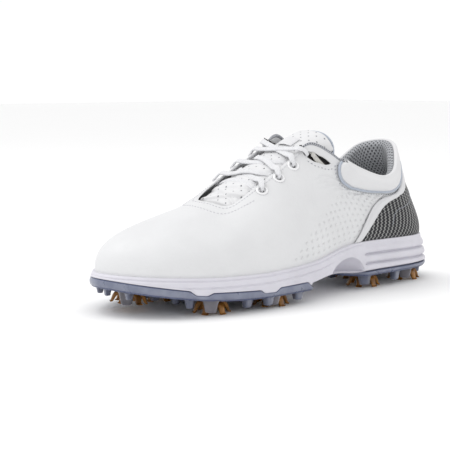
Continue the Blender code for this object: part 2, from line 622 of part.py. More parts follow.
LEATHER_ROWS = 9
upper = layer("upper", ALL, 0, 1, LEATHER_ROWS, 0.0, -1.6, LEATHER, closed=True)
layer("lining", ALL, 0.0,
      lambda a: np.interp(abs(a - 1), [0.25, 0.28, 0.64, 0.70], [0.60, 0.76, 0.76, 0.84]), 6,
      -3.9, -4.7, MESH, closed=True)
toe = STATIONS[STATIONS < 0.25]
layer("toe_puff", np.concatenate([-toe[:0:-1], toe]), 0.0, 0.42, 4, -2.3, -3.1, PUFF)
layer("heel_counter", between(0.69, 1.0), 0.0, 0.62, 4, -2.3, -3.1, COUNTER)
layer("heel_panel", between(0.69, 1.0), 0.0,
      lambda a: line_at(PANEL_TOP, a) - 0.008, 5, 1.7, 0.9, WOVEN)
layer("heel_overlay", between(0.66, 1.0),
      lambda a: np.maximum(0, line_at(PANEL_TOP, a) + 0.008 * (line_at(PANEL_TOP, a) > 0)),
      lambda a: line_at(BAND_TOP, a) - 0.004, 3, 2.0, 0.9, LEATHER_HEEL)

# padded collar: foam and mesh inside, leather lobe outside and over the edge
COLLAR = between(0.75, 1.0)
layer("collar_foam", COLLAR, 0.66, 0.985, 4, -2.5, lambda a, f: -4.7 - 1.2 * np.sin(np.pi * f), FOAM)
ROLL_OUTER = [(0.64, -5.3, 0), (0.76, -6.3, 0), (0.88, -6.3, 0), (0.99, -5.2, 0.2), (1.0, -4.3, 1.4),
              (1.0, -3.0, 2.0), (1.0, -1.6, 2.2)]
ROLL_INNER = [(0.64, -6.1, 0), (0.76, -7.1, 0), (0.88, -7.1, 0), (0.99, -6.4, 0.4), (1.0, -5.4, 2.3),
              (1.0, -3.5, 3.3), (1.0, -1.5, 3.5)]


def collar_roll(rows):
    """Grid over the collar of (v, offset, lift) rows that run up the inside and over the edge."""
    v, off, lift = (np.tile([r[c] for r in rows], len(COLLAR)) for c in range(3))
    return skin(np.repeat(COLLAR, len(rows)), v, off, lift).reshape(len(COLLAR), len(rows), 3)


put("collar_lining", *skin_body(collar_roll(ROLL_OUTER), collar_roll(ROLL_INNER)), MESH_COLLAR)

pipe_half = np.array(PIPING)
pipe_av = np.concatenate([pipe_half, np.column_stack([2 - pipe_half[:-1, 0], pipe_half[:-1, 1]])[::-1]])


def resample(points, count, scale=(330, 75)):
    p = np.asarray(points, float)
    s = np.concatenate([[0], np.cumsum(np.linalg.norm(np.diff(p, axis=0) * scale, axis=1))])
    t = np.linspace(0, s[-1], count)
    return np.column_stack([np.interp(t, s, p[:, k]) for k in range(p.shape[1])])


RIM_N = 39
pipe_av = resample(pipe_av, RIM_N)
tube("collar_piping", skin(pipe_av[:, 0], pipe_av[:, 1], 1.9), PIPE, (1.1, 1.1), across=5)
# the lobe's section runs from the piping up the outside, over the edge and back
top_a = np.interp(np.linspace(0, 1, RIM_N), [0, 0.12, 0.5, 0.88, 1], [0.757, 0.80, 1.0, 1.20, 1.243])
rows = []
for (pa, pv), ta in zip(pipe_av, top_a):
    d = np.array(((ta - pa) * 330, (1 - pv) * 52))
    size = max(np.linalg.norm(d), 1e-6)
    start = np.array((pa, pv)) + d / size * min(3.7, size * 0.5) / np.array((330, 52))
    mid = 0.5 * (start + (ta, 1.0))
    fat = min(1.0, size / 12) * (1 - 0.6 * math.exp(-((ta - 1) / 0.09) ** 2))
    row = [(start[0], start[1], 1.1, 0), (mid[0], mid[1], 1.3, 0), (ta, 1.0, 1.4, 0.8),
           (ta, 1.0, -0.4, 1.0), (ta, 1.0, -0.7, 2.0), (ta, 1.0, 0.1, 3.3), (ta, 1.0, 1.6, 3.0),
           (0.25 * start[0] + 0.75 * ta, 0.25 * start[1] + 0.75, 2.4 * fat + 1.7, 0.4),
           (mid[0], mid[1], 2.7 * fat + 1.7, 0), (start[0], start[1], 1.2 * fat + 1.8, 0)]
    r = np.array(row)
    rows.append(skin(r[:, 0], r[:, 1], r[:, 2], r[:, 3]))
rows = np.array(rows)
m, k = rows.shape[:2]
faces = [(i * k + c, i * k + (c + 1) % k, (i + 1) * k + (c + 1) % k, (i + 1) * k + c)
         for i in range(m - 1) for c in range(k)]
faces += [tuple(range(k))[::-1], tuple((m - 1) * k + c for c in range(k))]
put("collar_lobe", rows.reshape(-1, 3), faces, LOBE)

# ---------------------------------------------------------------- tongue
TP = np.array(TONGUE, float)
TP_S = np.concatenate([[0], np.cumsum(np.linalg.norm(np.diff(TP[:, :2], axis=0), axis=1))])
TP_S /= TP_S[-1]


def crown(x, y):
    """Fall of the tongue's face from its middle to y, steeper towards its free end."""
    return (0.00504 * y ** 2 + 2.61e-5 * y ** 4) * (1 + 0.45 * np.clip((x - 12) / 20, 0, 1))


def tongue_raw(p, y):
    x, z = (np.interp(p, TP_S, TP[:, c]) for c in (0, 1))
    drop = crown(x, y)
    return np.column_stack([x + 0.12 * drop, y, z + TONGUE_TILT * y - drop])


def tongue_at(p, q, off=0.0):
    """Point of the tongue's face: p along it from the stitched end, q across from -1 to 1."""
    p, q = np.broadcast_arrays(np.atleast_1d(np.asarray(p, float)), np.atleast_1d(np.asarray(q, float)))
    w = np.interp(p, TP_S, TP[:, 2])
    e = 0.01
    a, b = np.clip(p - e, 0, 1), np.clip(p + e, 0, 1)
    n = np.cross(tongue_raw(b, q * w) - tongue_raw(a, q * w),
                 tongue_raw(p, q * w + 0.4) - tongue_raw(p, q * w - 0.4))
    n /= np.linalg.norm(n, axis=1)[:, None]
    return tongue_raw(p, q * w) + n * np.asarray(off, float).reshape(-1, 1)


T_ROWS, T_COLS = np.linspace(0, 0.97, 13), np.array([-0.96, -0.9, -0.6, -0.3, 0, 0.3, 0.6, 0.9, 0.96])


def tongue_layer(name, rows, cols, outer, inner, mat):
    pp, qq = np.meshgrid(T_ROWS[rows], T_COLS[cols], indexing="ij")
    grids = [tongue_at(pp.ravel(), qq.ravel(), o).reshape(*pp.shape, 3) for o in (outer, inner)]
    return put(name, *skin_body(*grids), mat)


tongue_layer("tongue_face", slice(0, 13), slice(0, 9), 0.0, -1.0, FACE)
tongue_layer("tongue_foam", slice(2, 12), slice(1, 8), -1.75, -3.9, FOAM_TONGUE)
tongue_layer("tongue_lining", slice(1, 13), slice(0, 9), -4.6, -5.3, MESH_TONGUE)
pp = np.concatenate([np.linspace(0.87, 0.97, 7), np.full(6, 0.998), np.linspace(0.97, 0.87, 7)])
qq = np.concatenate([np.full(7, -1.05), np.linspace(-0.96, 0.96, 6), np.full(7, 1.05)])
tube("tongue_binding", tongue_at(pp, qq, -2.5), PIPE_TONGUE, (0.9, 2.0), across=6)

# ---------------------------------------------------------------- eyelets, loops and lace
holes = []
for side in (1, -1):
    for i, (a, v) in enumerate(EYELETS, 1):
        a = a if side == 1 else 2 - a
        c = skin(a, v)[0]
        axis = skin(a, v, 1)[0] - c
        lathe(f"eyelet_{'lateral' if side == 1 else 'medial'}_{i}",
              [(3.9, 0.3), (3.5, 0.9), (2.5, 0.7), (2.1, -2.3), (2.5, -2.3), (2.5, 0.3)], RIM, c, 10, axis)
        holes.append(lathe("hole", [(0, -7), (2.9, -7), (2.9, 3), (0, 3)], LEATHER, c, 8, axis, TOOLS))
for side in (1, -1):
    g = np.array(GHILLIE)
    g = resample(g, 7)
    a = g[:, 0] if side == 1 else 2 - g[:, 0]
    out = np.array([skin(x, y, 4)[0] for x, y in zip(a, g[:, 1])])
    ins = np.array([skin(x, y, -7)[0] for x, y in zip(a, g[:, 1])])
    up = np.array([skin(x, min(y + 0.03, 1))[0] - skin(x, y)[0] for x, y in zip(a, g[:, 1])])
    up /= np.linalg.norm(up, axis=1)[:, None]
    wide = np.array([1.2, 2.6, 3.0, 3.0, 2.6, 1.8, 0.6])[:, None]
    ring = [out + up * wide, out - up * wide, ins - up * wide, ins + up * wide]
    verts = np.stack(ring, 1).reshape(-1, 3)
    faces = [(4 * i + c, 4 * i + (c + 1) % 4, 4 * i + 4 + (c + 1) % 4, 4 * i + 4 + c)
             for i in range(6) for c in range(4)] + [(3, 2, 1, 0), (24, 25, 26, 27)]
    holes.append(put("slot", verts, faces, LEATHER, TOOLS))
hole_tool = joined("lace_holes", holes, LEATHER)
boolean(upper, hole_tool)


def mirror(av, side):
    return (av[0], av[1]) if side == 1 else (2 - av[0], av[1])


def on(av, off, side):
    a, v = mirror(av, side)
    return skin(a, v, off)[0]


def above(p, gap):
    """The point, lifted so that it clears the tongue's face by gap."""
    z = np.interp(p[0] - 1.0, TP[:, 0], TP[:, 1]) + TONGUE_TILT * p[1] - crown(p[0], p[1])
    return np.array((p[0], p[1], max(p[2], z + gap + 0.02 * abs(p[1]))))


for side, word in ((1, "lateral"), (-1, "medial")):
    loop = [on((0.668, 0.765), -2.8, side), on((0.662, 0.810), -2.8, side), on((0.656, 0.846), -2.3, side),
            on((0.650, 0.872), -0.7, side), on((0.645, 0.890), 0.8, side), on((0.640, 0.905), 1.7, side)]
    tube(f"ghillie_loop_{word}", loop, WEB, (1.6, 0.4), across=6,
         frame_up=np.array([on((0.64, 0.90), 1, side) - on((0.64, 0.90), 0, side)] * len(loop)))


def lace_side(side):
    """One end of the lace, from the first eyelet's top to its tip inside the shoe."""
    pts, half = [], []

    def go(p, w, t, wide=(0.87, 0, 0.5)):
        pts.append(p)
        half.append((w, t, *wide))

    def under(a, s):
        """Where the lace runs between the facing's edge and the tongue."""
        return above(on((a, 1.0), -3.0, s) + (0, 2.5 * s, 0), 1.1)

    s = side
    for i, (a, v) in enumerate(EYELETS):
        go(under(a - 0.014, s), 2.2, 0.5)
        go(above(on((a - 0.008, v + 0.055), -3.6, s), 1.1), 2.1, 0.5)
        go(above(on((a - 0.003, v + 0.022), -4.6, s), 1.2), 1.6, 0.6)
        for off in (-2.9, -1.4, 0.3, 2.0):
            go(on((a, v), off, s), 1.0, 1.0)
        go(on((a + 0.003, v + 0.045), 2.5, s), 1.7, 0.6)
        p0 = on((a + 0.008, 1.0), 2.2, s)
        p1 = under(EYELETS[i + 1][0] - 0.030, -s) if i < 2 else on((0.606, 1.0), 2.8, -s)
        go(p0, 2.2, 0.5)
        for f in (0.15, 0.32, 0.5, 0.68, 0.85):
            rise = 0 if side == 1 else 2.2 * math.sin(math.pi * f) ** 0.7
            go(above(p0 + (p1 - p0) * f, 1.2 + rise), 2.3, 0.5)
        if i == 2:
            go(p1, 2.2, 0.5)
        s = -s
    for (a, v), off in (((0.6165, 0.970), 2.5), ((0.6205, 0.942), 2.2), ((0.624, 0.921), 0.8),
                        ((0.6255, 0.914), -1.6), ((0.628, 0.908), -4.4), ((0.643, 0.905), -6.0),
                        ((0.651, 0.850), -6.3), ((0.660, 0.795), -7.3)):
        go(on((a, v), off, s), 1.3, 0.55, (0.87, 0, 0.5) if a < 0.63 else (-0.4, 0, 1))
    y = np.sign(pts[-1][1])
    for x, yy, z in ((23, 24, 83), (36, 23, 79), (44, 22.5, 73), (47, 23.5, 67), (38, 26, 58), (24, 28, 52),
                     (6, 30, 47.5), (-14, 31, 44.5), (-36, 31, 42), (-58, 29, 41)):
        go(np.array((x, y * yy, z)), 1.9, 0.6, (-0.2, -y, 0.2))
    return np.array(pts), np.array(half)


parts = [lace_side(1), lace_side(-1)]
middle = above((parts[0][0][0] + parts[1][0][0]) / 2, 1.3)
path = np.concatenate([parts[0][0][::-1], [middle], parts[1][0]])
half = np.concatenate([parts[0][1][::-1], [(2.4, 0.5, 0.87, 0, 0.5)], parts[1][1]])


def smooth(points, step):
    """Hermite curve through the points, each span cut into pieces no longer than step."""
    p = np.asarray(points, float)
    s = np.concatenate([[0], np.cumsum(np.linalg.norm(np.diff(p[:, :3], axis=0), axis=1))])
    d = np.gradient(p, s, axis=0)
    rows = []
    for i in range(len(p) - 1):
        h = s[i + 1] - s[i]
        for u in np.arange(0, 1, 1 / max(1, math.ceil(h / step - 0.01))):
            rows.append((2 * u ** 3 - 3 * u ** 2 + 1) * p[i] + (u ** 3 - 2 * u ** 2 + u) * h * d[i]
                        + (-2 * u ** 3 + 3 * u ** 2) * p[i + 1] + (u ** 3 - u ** 2) * h * d[i + 1])
    rows.append(p[-1])
    return np.array(rows)


both = smooth(np.column_stack([path, half]), 7.5)
path, half, wide = both[:, :3], np.maximum(both[:, 3:5], 0.45), both[:, 5:]
tube("lace", path, LACE, half, across=4, width_to=wide)
for i, (end, step) in enumerate(((path[0], path[0] - path[2]), (path[-1], path[-1] - path[-3])), 1):
    step = step / np.linalg.norm(step)
    tube(f"aglet_{i}", [end + step * d for d in (0.4, 6, 12, 17, 20)], AGLET,
         [(1.5, 1.1), (1.5, 1.1), (1.5, 1.1), (1.4, 1.0), (0.9, 0.7)], across=6)

# lace keeper: a stitched strap on the tongue with the lace passing over it
kp = tongue_at(np.full(7, 0.80), np.linspace(-0.30, 0.30, 7), np.array([0.7, 0.8, 1.2, 1.4, 1.2, 0.8, 0.7]))
tube("lace_keeper", kp, KEEPER, (5.0, 0.35), across=6,
     frame_up=np.array([tongue_at(0.80, 0, 1)[0] - tongue_at(0.80, 0, 0)[0]] * 7))
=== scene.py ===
"""Looks of the golf shoe: the fine surfaces, stitching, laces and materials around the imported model.

Lengths in the tables are millimetres; `put` scales them to metres. +X is the heel, -Y the outer side.
Surface points are named by (a, v): a runs 0 to 1 from the toe tip along the lateral side to the heel
and 1 to 2 back along the medial side, v from the midsole (0) to the top edge (1).
"""

import math

import bpy
import numpy as np
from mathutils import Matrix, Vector


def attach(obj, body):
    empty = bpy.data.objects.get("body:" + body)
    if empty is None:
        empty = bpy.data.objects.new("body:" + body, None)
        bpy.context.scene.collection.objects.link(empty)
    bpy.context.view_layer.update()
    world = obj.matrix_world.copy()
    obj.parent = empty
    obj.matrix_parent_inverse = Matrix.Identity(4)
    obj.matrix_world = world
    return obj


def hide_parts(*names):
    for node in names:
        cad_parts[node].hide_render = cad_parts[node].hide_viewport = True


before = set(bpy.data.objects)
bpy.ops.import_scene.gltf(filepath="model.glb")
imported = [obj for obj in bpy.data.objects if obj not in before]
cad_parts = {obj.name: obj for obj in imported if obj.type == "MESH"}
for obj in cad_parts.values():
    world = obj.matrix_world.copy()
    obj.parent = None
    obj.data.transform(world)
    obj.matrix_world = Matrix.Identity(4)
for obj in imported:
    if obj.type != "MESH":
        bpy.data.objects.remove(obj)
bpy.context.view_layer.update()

# ---------------------------------------------------------------- tables (mm)
OUTLINE = [  # widest line of the sole, from the toe tip along the lateral side
    (-150, 7), (-145.3, -10.5), (-133.8, -26.8), (-114.5, -40.3), (-92, -48.5), (-72, -52.5), (-47, -54),
    (-22, -52.5), (8, -48.5), (38, -43.5), (68, -39.8), (98, -37.7), (118, -34.8), (133, -28.8),
    (144.5, -17), (150, 1.5), (144.5, 19.5), (133, 31.5), (118, 38), (98, 40.3), (68, 39.2),
    (38, 38.2), (8, 41), (-22, 47), (-47, 51.8), (-72, 54), (-92, 52.3), (-114.5, 46),
    (-132.5, 35), (-144.2, 22)]
HEEL_KEY = 15
SPRING_START, SPRING_TOE, SPRING_RISE = -64.0, -151.0, 9.8  # where the toe starts to lift, its tip, its lift
BALL_BOTTOM, HEEL_STEP = 12.8, 1.2  # underside of the midsole at the ball, and its step up to the heel
ARCH_X, ARCH_HALF, ARCH_RISE = 18.0, 32.0, 3.6  # hollow under the arch
LEAN_UP, LEAN_BACK, LEAN_SIDE = 2.7, -0.026, -0.031  # how the lasted upper sits on the sole


def toe_spring(x):
    """Rise of the sole towards the toe."""
    run = max(0.0, (SPRING_START - x) / (SPRING_START - SPRING_TOE))
    return SPRING_RISE * run ** 1.7


def underside(x):
    """Height of the midsole's underside: level at ball and heel, hollow at the arch, sprung at the toe."""
    step = min(1.0, max(0.0, (x + 10) / 70))
    hollow = 0.5 + 0.5 * math.cos(math.pi * min(1.0, abs(x - ARCH_X) / ARCH_HALF))
    return BALL_BOTTOM + HEEL_STEP * step * step * (3 - 2 * step) + ARCH_RISE * hollow + toe_spring(x)


def lean(x, y):
    """Change of height from leaning the upper forwards and to the side."""
    return LEAN_BACK * x + LEAN_SIDE * y


def leaned_top(rows):
    """Rows of (a, x, y, z) with their heights leaned."""
    return [(a, x, y, z + LEAN_UP + lean(x, y)) for a, x, y, z in rows]


def leaned_handles(rows):
    """Handle rows with the top handle leaned like the topline."""
    return [(*row[:4], row[4], row[5], row[6] + lean(row[4], row[5])) for row in rows]


def rising_edge(foot, knee, level, power):
    """(a, v) of an edge that leaves the midsole at foot and bends over to a level line at knee."""
    steps = [i / 8 for i in range(9)]
    return [(foot + (knee - foot) * t, level * (1 - (1 - t) ** power)) for t in steps] + [(1.0, level)]


MID_TOP = [  # height of the midsole's top line along x
    (-160, 28), (-120, 26.3), (-90, 25), (-50, 24.9), (-20, 26.4), (0, 28), (15, 31), (30, 34), (45, 35.5),
    (60, 35.8), (150, 34.6)]
MID_BOTTOM = [(x, underside(x)) for x in range(-160, 153, 8)]
SPRING = [(x, toe_spring(x)) for x in range(-160, 1, 8)]
TOP_LATERAL = leaned_top([  # a, x, y, z of the throat, facing and topline
    (0.00, -64, 0, 66), (0.10, -63, -6.5, 65.5), (0.18, -61, -12.5, 64), (0.25, -55.5, -18, 64),
    (0.32, -44, -20, 70.5), (0.40, -29, -20.5, 79), (0.48, -14, -20, 87), (0.55, -2, -20, 94.5),
    (0.61, 6, -22, 101), (0.66, 14, -25, 104.5), (0.71, 27, -28.5, 99), (0.76, 42, -31.5, 89.5),
    (0.82, 62, -33.5, 81), (0.87, 80.5, -33, 77.5), (0.915, 97, -27.5, 83), (0.955, 109.5, -17, 94.5),
    (1.0, 118, 1, 104)])
TOP_MEDIAL = leaned_top([
    (0.10, -63, 6.5, 66.5), (0.18, -60.5, 12, 67), (0.25, -54, 17, 69.5), (0.32, -43, 20.5, 75),
    (0.40, -28, 21.5, 83), (0.48, -13, 21, 91.5), (0.55, 1, 20.5, 99), (0.61, 12, 21.5, 105.5),
    (0.67, 23, 24, 110), (0.72, 35, 28, 106), (0.77, 51, 32, 96), (0.82, 68, 34.5, 87),
    (0.87, 84.5, 33.5, 83.5), (0.91, 96, 29, 88.5), (0.945, 104.5, 22.5, 98), (0.975, 112, 13.5, 103)])
HANDLE_LATERAL = leaned_handles([  # a, inset of the upper's foot, out and up handles, x y z of the top handle
    (0.00, 3.5, 2, 22, -54, 0, -14), (0.12, 3.5, 1.5, 20, -40, -9, -14), (0.25, 3.5, 2, 22, -20, -14, -15),
    (0.40, 3.5, 2.5, 26, -4, -16, -14), (0.55, 4, 1.5, 25, 0, -16, -18), (0.66, 5, 2, 20, 3, -10, -23),
    (0.76, 5.5, 3, 16, 4, -6, -18), (0.87, 6.5, 3, 14, 6, -5, -14), (0.95, 8, 1, 18, 6, -2, -18),
    (1.0, 9, 0, 22, 6.5, 0, -20)])
HANDLE_MEDIAL = leaned_handles([
    (0.12, 3.5, 2.5, 24, -44, 6, -14), (0.25, 3.5, 2, 25, -20, 13, -15), (0.40, 3.5, 2, 27, -4, 16, -15),
    (0.55, 4, 0, 26, 0, 16, -20), (0.66, 5, 1, 22, 3, 10, -25), (0.76, 5.5, 3, 18, 4, 6, -20),
    (0.87, 6.5, 3, 16, 6, 5, -16), (0.95, 8, 1, 19, 6, 2, -18)])
PIPING = [  # a, v of the piping under the collar lobe: down the front, round the corner, back to the heel
    (0.74, 0.965), (0.72, 0.86), (0.70, 0.74), (0.69, 0.65), (0.71, 0.61), (0.78, 0.69), (0.84, 0.77),
    (0.885, 0.825), (0.92, 0.85), (0.96, 0.85), (1.0, 0.85)]
PANEL_TOP = rising_edge(0.66, 0.88, 0.71, 1.3)    # upper edge of the woven heel panel
BAND_TOP = rising_edge(0.64, 0.93, 0.82, 1.65)    # upper edge of the heel overlay
EYELETS = [(0.385 + 0.08 * i, 0.90 + 0.0125 * i) for i in range(3)]
GHILLIE = [(0.61, 0.95), (0.64, 0.88), (0.67, 0.845), (0.70, 0.86)]
TONGUE = [  # x, z and half width along the middle of the tongue's face
    (-78, 59, 14), (-70, 61.5, 17), (-62, 66, 20), (-54, 71, 23), (-46, 75.5, 25), (-38, 79.5, 26),
    (-28, 84.5, 27), (-14, 92, 26.5), (-2, 98, 24), (10, 104.5, 20), (21, 110, 20.5), (30, 114, 22.5),
    (36, 115.5, 23), (40, 116, 22.5)]
TONGUE_TILT = 0.04
CLEATS = [  # x, y, lift and backward tilt in degrees: five under the forefoot, four under the heel
    (-122, 9, 5.0, 7), (-84, -32, 0, 0), (-34, -35, 0, 0), (-82, 31, 0, 0), (-36, 31, 0, 0),
    (73, -20, 0, 0), (94, 14, 0, 0), (122, -16, 0, 0), (123, 19, 0, 0)]
PLATE_BOTTOM = 8.5
HEEL_BOTTOM = 10.2
TABS = [(-108, -96.5), (-57, -43)]  # x ranges where the midsole drops through the rim
FOREFOOT_END, HEEL_START = -9.0, 47.0


# ---------------------------------------------------------------- points and curves
LENGTH_A, HEIGHT_V = 330.0, 75.0  # mm of leather to one a and one v, near enough for patterns
EYELET_V, LOW_V = 62.0, 52.0  # mm to one v at the eyelets, and at the slot and collar, where it is lower
SEAT = 0.35  # mm from the midsole's top line up to the foot of the leather
SIDES = ((1, "lateral"), (-1, "medial"))


def to_side(a, side):
    """The same place along the shoe on the lateral (1) or the medial (-1) side."""
    return a if side == 1 else 2 - a


def matched(a, v):
    """Numbers or arrays as two arrays of one length."""
    return np.broadcast_arrays(np.atleast_1d(np.asarray(a, float)), np.atleast_1d(np.asarray(v, float)))


def unit(rows):
    """Each row scaled to length one."""
    return rows / np.linalg.norm(rows, axis=1)[:, None]


def running(points):
    """Length along a polyline at each of its points."""
    return np.concatenate([[0], np.cumsum(np.linalg.norm(np.diff(points, axis=0), axis=1))])


def eased(points, times):
    """Points with their corners eased and the two ends held."""
    p = np.array(points, float)
    for _ in range(times):
        p[1:-1] = 0.25 * p[:-2] + 0.5 * p[1:-1] + 0.25 * p[2:]
    return p


def squarish(angle, power):
    """Cosine and sine, drawn out towards the corners of a square by a power below one."""
    c, s = np.cos(angle), np.sin(angle)
    return np.sign(c) * abs(c) ** power, np.sign(s) * abs(s) ** power


# ---------------------------------------------------------------- surface
class Loop:
    """Closed cubic spline through points p at parameters t."""

    def __init__(self, t, p, period):
        self.t, self.p, self.period = np.array(t, float), np.array(p, float), period
        n = len(self.t)
        h = np.diff(np.append(self.t, self.t[0] + period))
        left, right = np.zeros((n, n)), np.zeros_like(self.p)
        for i in range(n):
            j, k = (i - 1) % n, (i + 1) % n
            left[i, j] += h[j]
            left[i, i] += 2 * (h[j] + h[i])
            left[i, k] += h[i]
            right[i] = 6 * ((self.p[k] - self.p[i]) / h[i] - (self.p[i] - self.p[j]) / h[j])
        self.m = np.linalg.solve(left, right)

    def __call__(self, a):
        a = np.atleast_1d(np.asarray(a, float))
        u = (a - self.t[0]) % self.period + self.t[0]
        n = len(self.t)
        i = np.clip(np.searchsorted(self.t, u, side="right") - 1, 0, n - 1)
        j = (i + 1) % n
        end = np.where(i == n - 1, self.t[0] + self.period, self.t[j])
        h = (end - self.t[i])[:, None]
        q = (end - u)[:, None] / h
        r = 1 - q
        bend = ((q ** 3 - q) * self.m[i] + (r ** 3 - r) * self.m[j]) * h * h / 6
        return q * self.p[i] + r * self.p[j] + bend


def two_sides(lateral, medial):
    """One closed loop through the rows of both sides."""
    keys = [r[0] for r in lateral] + [2 - r[0] for r in reversed(medial)]
    return Loop(keys, [r[1:] for r in lateral] + [r[1:] for r in reversed(medial)], 2.0)


def arc_length():
    """The outline's spline, its parameter and the a at each of its fine steps."""
    p = np.array(OUTLINE, float)
    s = running(np.append(p, p[:1], axis=0))
    loop = Loop(s[:-1], p, s[-1])
    grid = np.linspace(0, s[-1], 2001)
    run = running(loop(grid))
    heel = np.interp(s[HEEL_KEY], grid, run)
    return loop, grid, np.where(run <= heel, run / heel, 1 + (run - heel) / (run[-1] - heel))


OUT_LOOP, OUT_GRID, OUT_A = arc_length()
TOP_LOOP = two_sides(TOP_LATERAL, TOP_MEDIAL)
HANDLE_LOOP = two_sides(HANDLE_LATERAL, HANDLE_MEDIAL)


def outline(a, inset=0.0):
    """Points of the sole outline moved inwards, and the outward directions there."""
    a = np.atleast_1d(np.asarray(a, float)) % 2.0
    s = np.interp(a, OUT_A, OUT_GRID)
    t = unit(OUT_LOOP(s + 0.5) - OUT_LOOP(s - 0.5))
    out = np.stack([t[:, 1], -t[:, 0]], 1)
    return OUT_LOOP(s) - out * np.broadcast_to(np.asarray(inset, float).reshape(-1, 1), (len(a), 1)), out


def height(table, x):
    """A height table along x, rounded off at its keys."""
    t = np.array(table, float)
    xs = np.linspace(t[0, 0], t[-1, 0], 400)
    k = np.exp(-0.5 * (np.arange(-12, 13) / 5.0) ** 2)
    v = np.convolve(np.pad(np.interp(xs, t[:, 0], t[:, 1]), 12, mode="edge"), k / k.sum(), mode="valid")
    return np.interp(x, xs, v)


def bare(a, v):
    """Points of the leather's outer face at matching a and v."""
    h = HANDLE_LOOP(a)
    foot, out = outline(a, h[:, 0])
    p0 = np.column_stack([foot, height(MID_TOP, foot[:, 0]) + SEAT])
    p1 = p0 + np.column_stack([out * h[:, 1:2], h[:, 2]])
    p3 = TOP_LOOP(a)
    p2 = p3 + h[:, 3:6]
    v = np.asarray(v, float).reshape(-1, 1)
    return (1 - v) ** 3 * p0 + 3 * v * (1 - v) ** 2 * p1 + 3 * v * v * (1 - v) * p2 + v ** 3 * p3


def skin(a, v, off=0.0, lift=0.0):
    """Points off the leather's outer face along its normal."""
    a, v = matched(a, v)
    e = 0.004
    hi, lo = np.minimum(v + e, 1.0), np.maximum(v - e, 0.0)
    n = unit(np.cross(bare(a + e, v) - bare(a - e, v), bare(a, hi) - bare(a, lo)))
    n[:, 2] *= np.clip(v / 0.15, 0, 1)  # levels out towards the sole
    p = bare(a, v) + unit(n) * np.asarray(off, float).reshape(-1, 1)
    p[:, 2] += lift
    return p


def skin_axes(a, v):
    """Point on the leather with its outward normal and its upward tangent."""
    a, v = matched(a, v)
    p, n = skin(a, v), skin(a, v, 1.0) - skin(a, v)
    t = bare(a, np.minimum(v + 0.004, 1)) - bare(a, np.minimum(v + 0.004, 1) - 0.008)
    return p, n, unit(t - n * (t * n).sum(1)[:, None])


def spaced(keys, step):
    """Numbers from the first key to the last, no further apart than each span's own step."""
    out = []
    for lo, hi, s in zip(keys[:-1], keys[1:], step):
        out.append(np.linspace(lo, hi, max(2, math.ceil((hi - lo) / s) + 1))[:-1])
    return np.concatenate(out + [[keys[-1]]])


def smoothstep(lo, hi, x):
    """0 to 1 with eased ends as x goes from lo to hi."""
    t = np.clip((np.asarray(x, float) - lo) / (hi - lo), 0, 1)
    return t * t * (3 - 2 * t)


def resample(points, count):
    """A polyline of (a, v) as so many points, evenly spaced on the leather."""
    p = np.asarray(points, float)
    s = running(p * (LENGTH_A, HEIGHT_V))
    t = np.linspace(0, s[-1], count)
    return np.column_stack([np.interp(t, s, p[:, k]) for k in range(2)])


def rounded(points, count, passes=3):
    """A polyline of (a, v) resampled, with its corners eased."""
    return eased(resample(points, count), passes * max(1, count // 60))


def smooth(points, step):
    """Hermite curve through the points, each span cut into pieces no longer than step."""
    p = np.asarray(points, float)
    s = running(p[:, :3])
    d = np.gradient(p, s, axis=0)
    rows = []
    for i in range(len(p) - 1):
        h = s[i + 1] - s[i]
        for u in np.arange(0, 1, 1 / max(1, math.ceil(h / step - 0.01))):
            rows.append((2 * u ** 3 - 3 * u ** 2 + 1) * p[i] + (u ** 3 - 2 * u ** 2 + u) * h * d[i]
                        + (-2 * u ** 3 + 3 * u ** 2) * p[i + 1] + (u ** 3 - u ** 2) * h * d[i + 1])
    rows.append(p[-1])
    return np.array(rows)


def wave(seed, *coords):
    """Smooth repeatable noise between about -1 and 1."""
    rng = np.random.default_rng(seed)
    total = 0.0
    for k in range(6):
        f = rng.normal(size=len(coords)) * (1 + 0.35 * k)
        total = total + np.sin(sum(c * w for c, w in zip(coords, f)) + rng.uniform(0, 6.28)) / (1 + 0.3 * k)
    return total / 3.2


# ---------------------------------------------------------------- meshes
def put(name, verts, faces, mat, body="shoe", replaces=(), uv=None):
    """One mesh piece, its points in mm, riding on a body. faces is an array of quads, or a list."""
    mesh = bpy.data.meshes.new(name)
    verts = np.asarray(verts, float) * 0.001
    faces = faces.tolist() if isinstance(faces, np.ndarray) else faces
    mesh.from_pydata(verts.tolist(), [], [tuple(f) for f in faces])
    if uv is not None:
        layer_uv = mesh.uv_layers.new(name="cloth")
        loops = np.zeros(len(mesh.loops), int)
        mesh.loops.foreach_get("vertex_index", loops)
        layer_uv.data.foreach_set("uv", np.asarray(uv, float)[loops].ravel())
    mesh.shade_smooth()
    mesh.materials.append(mat)
    ob = bpy.data.objects.new(name, mesh)
    bpy.context.scene.collection.objects.link(ob)
    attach(ob, body)
    if replaces:
        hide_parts(*([replaces] if isinstance(replaces, str) else replaces))
    return ob


def quads(m, k, wrap_rows=False, wrap_cols=False, base=0):
    """Quads of a grid of m rows by k columns of points, numbered row by row."""
    i = np.arange(m if wrap_rows else m - 1)[:, None]
    c = np.arange(k if wrap_cols else k - 1)[None, :]
    j, d = (i + 1) % m, (c + 1) % k
    return base + np.stack([i * k + c, j * k + c, j * k + d, i * k + d], -1).reshape(-1, 4)


def crease(ob, degrees=35):
    """Keeps edges steeper than so many degrees sharp."""
    ob.data.set_sharp_from_angle(angle=math.radians(degrees))
    return ob


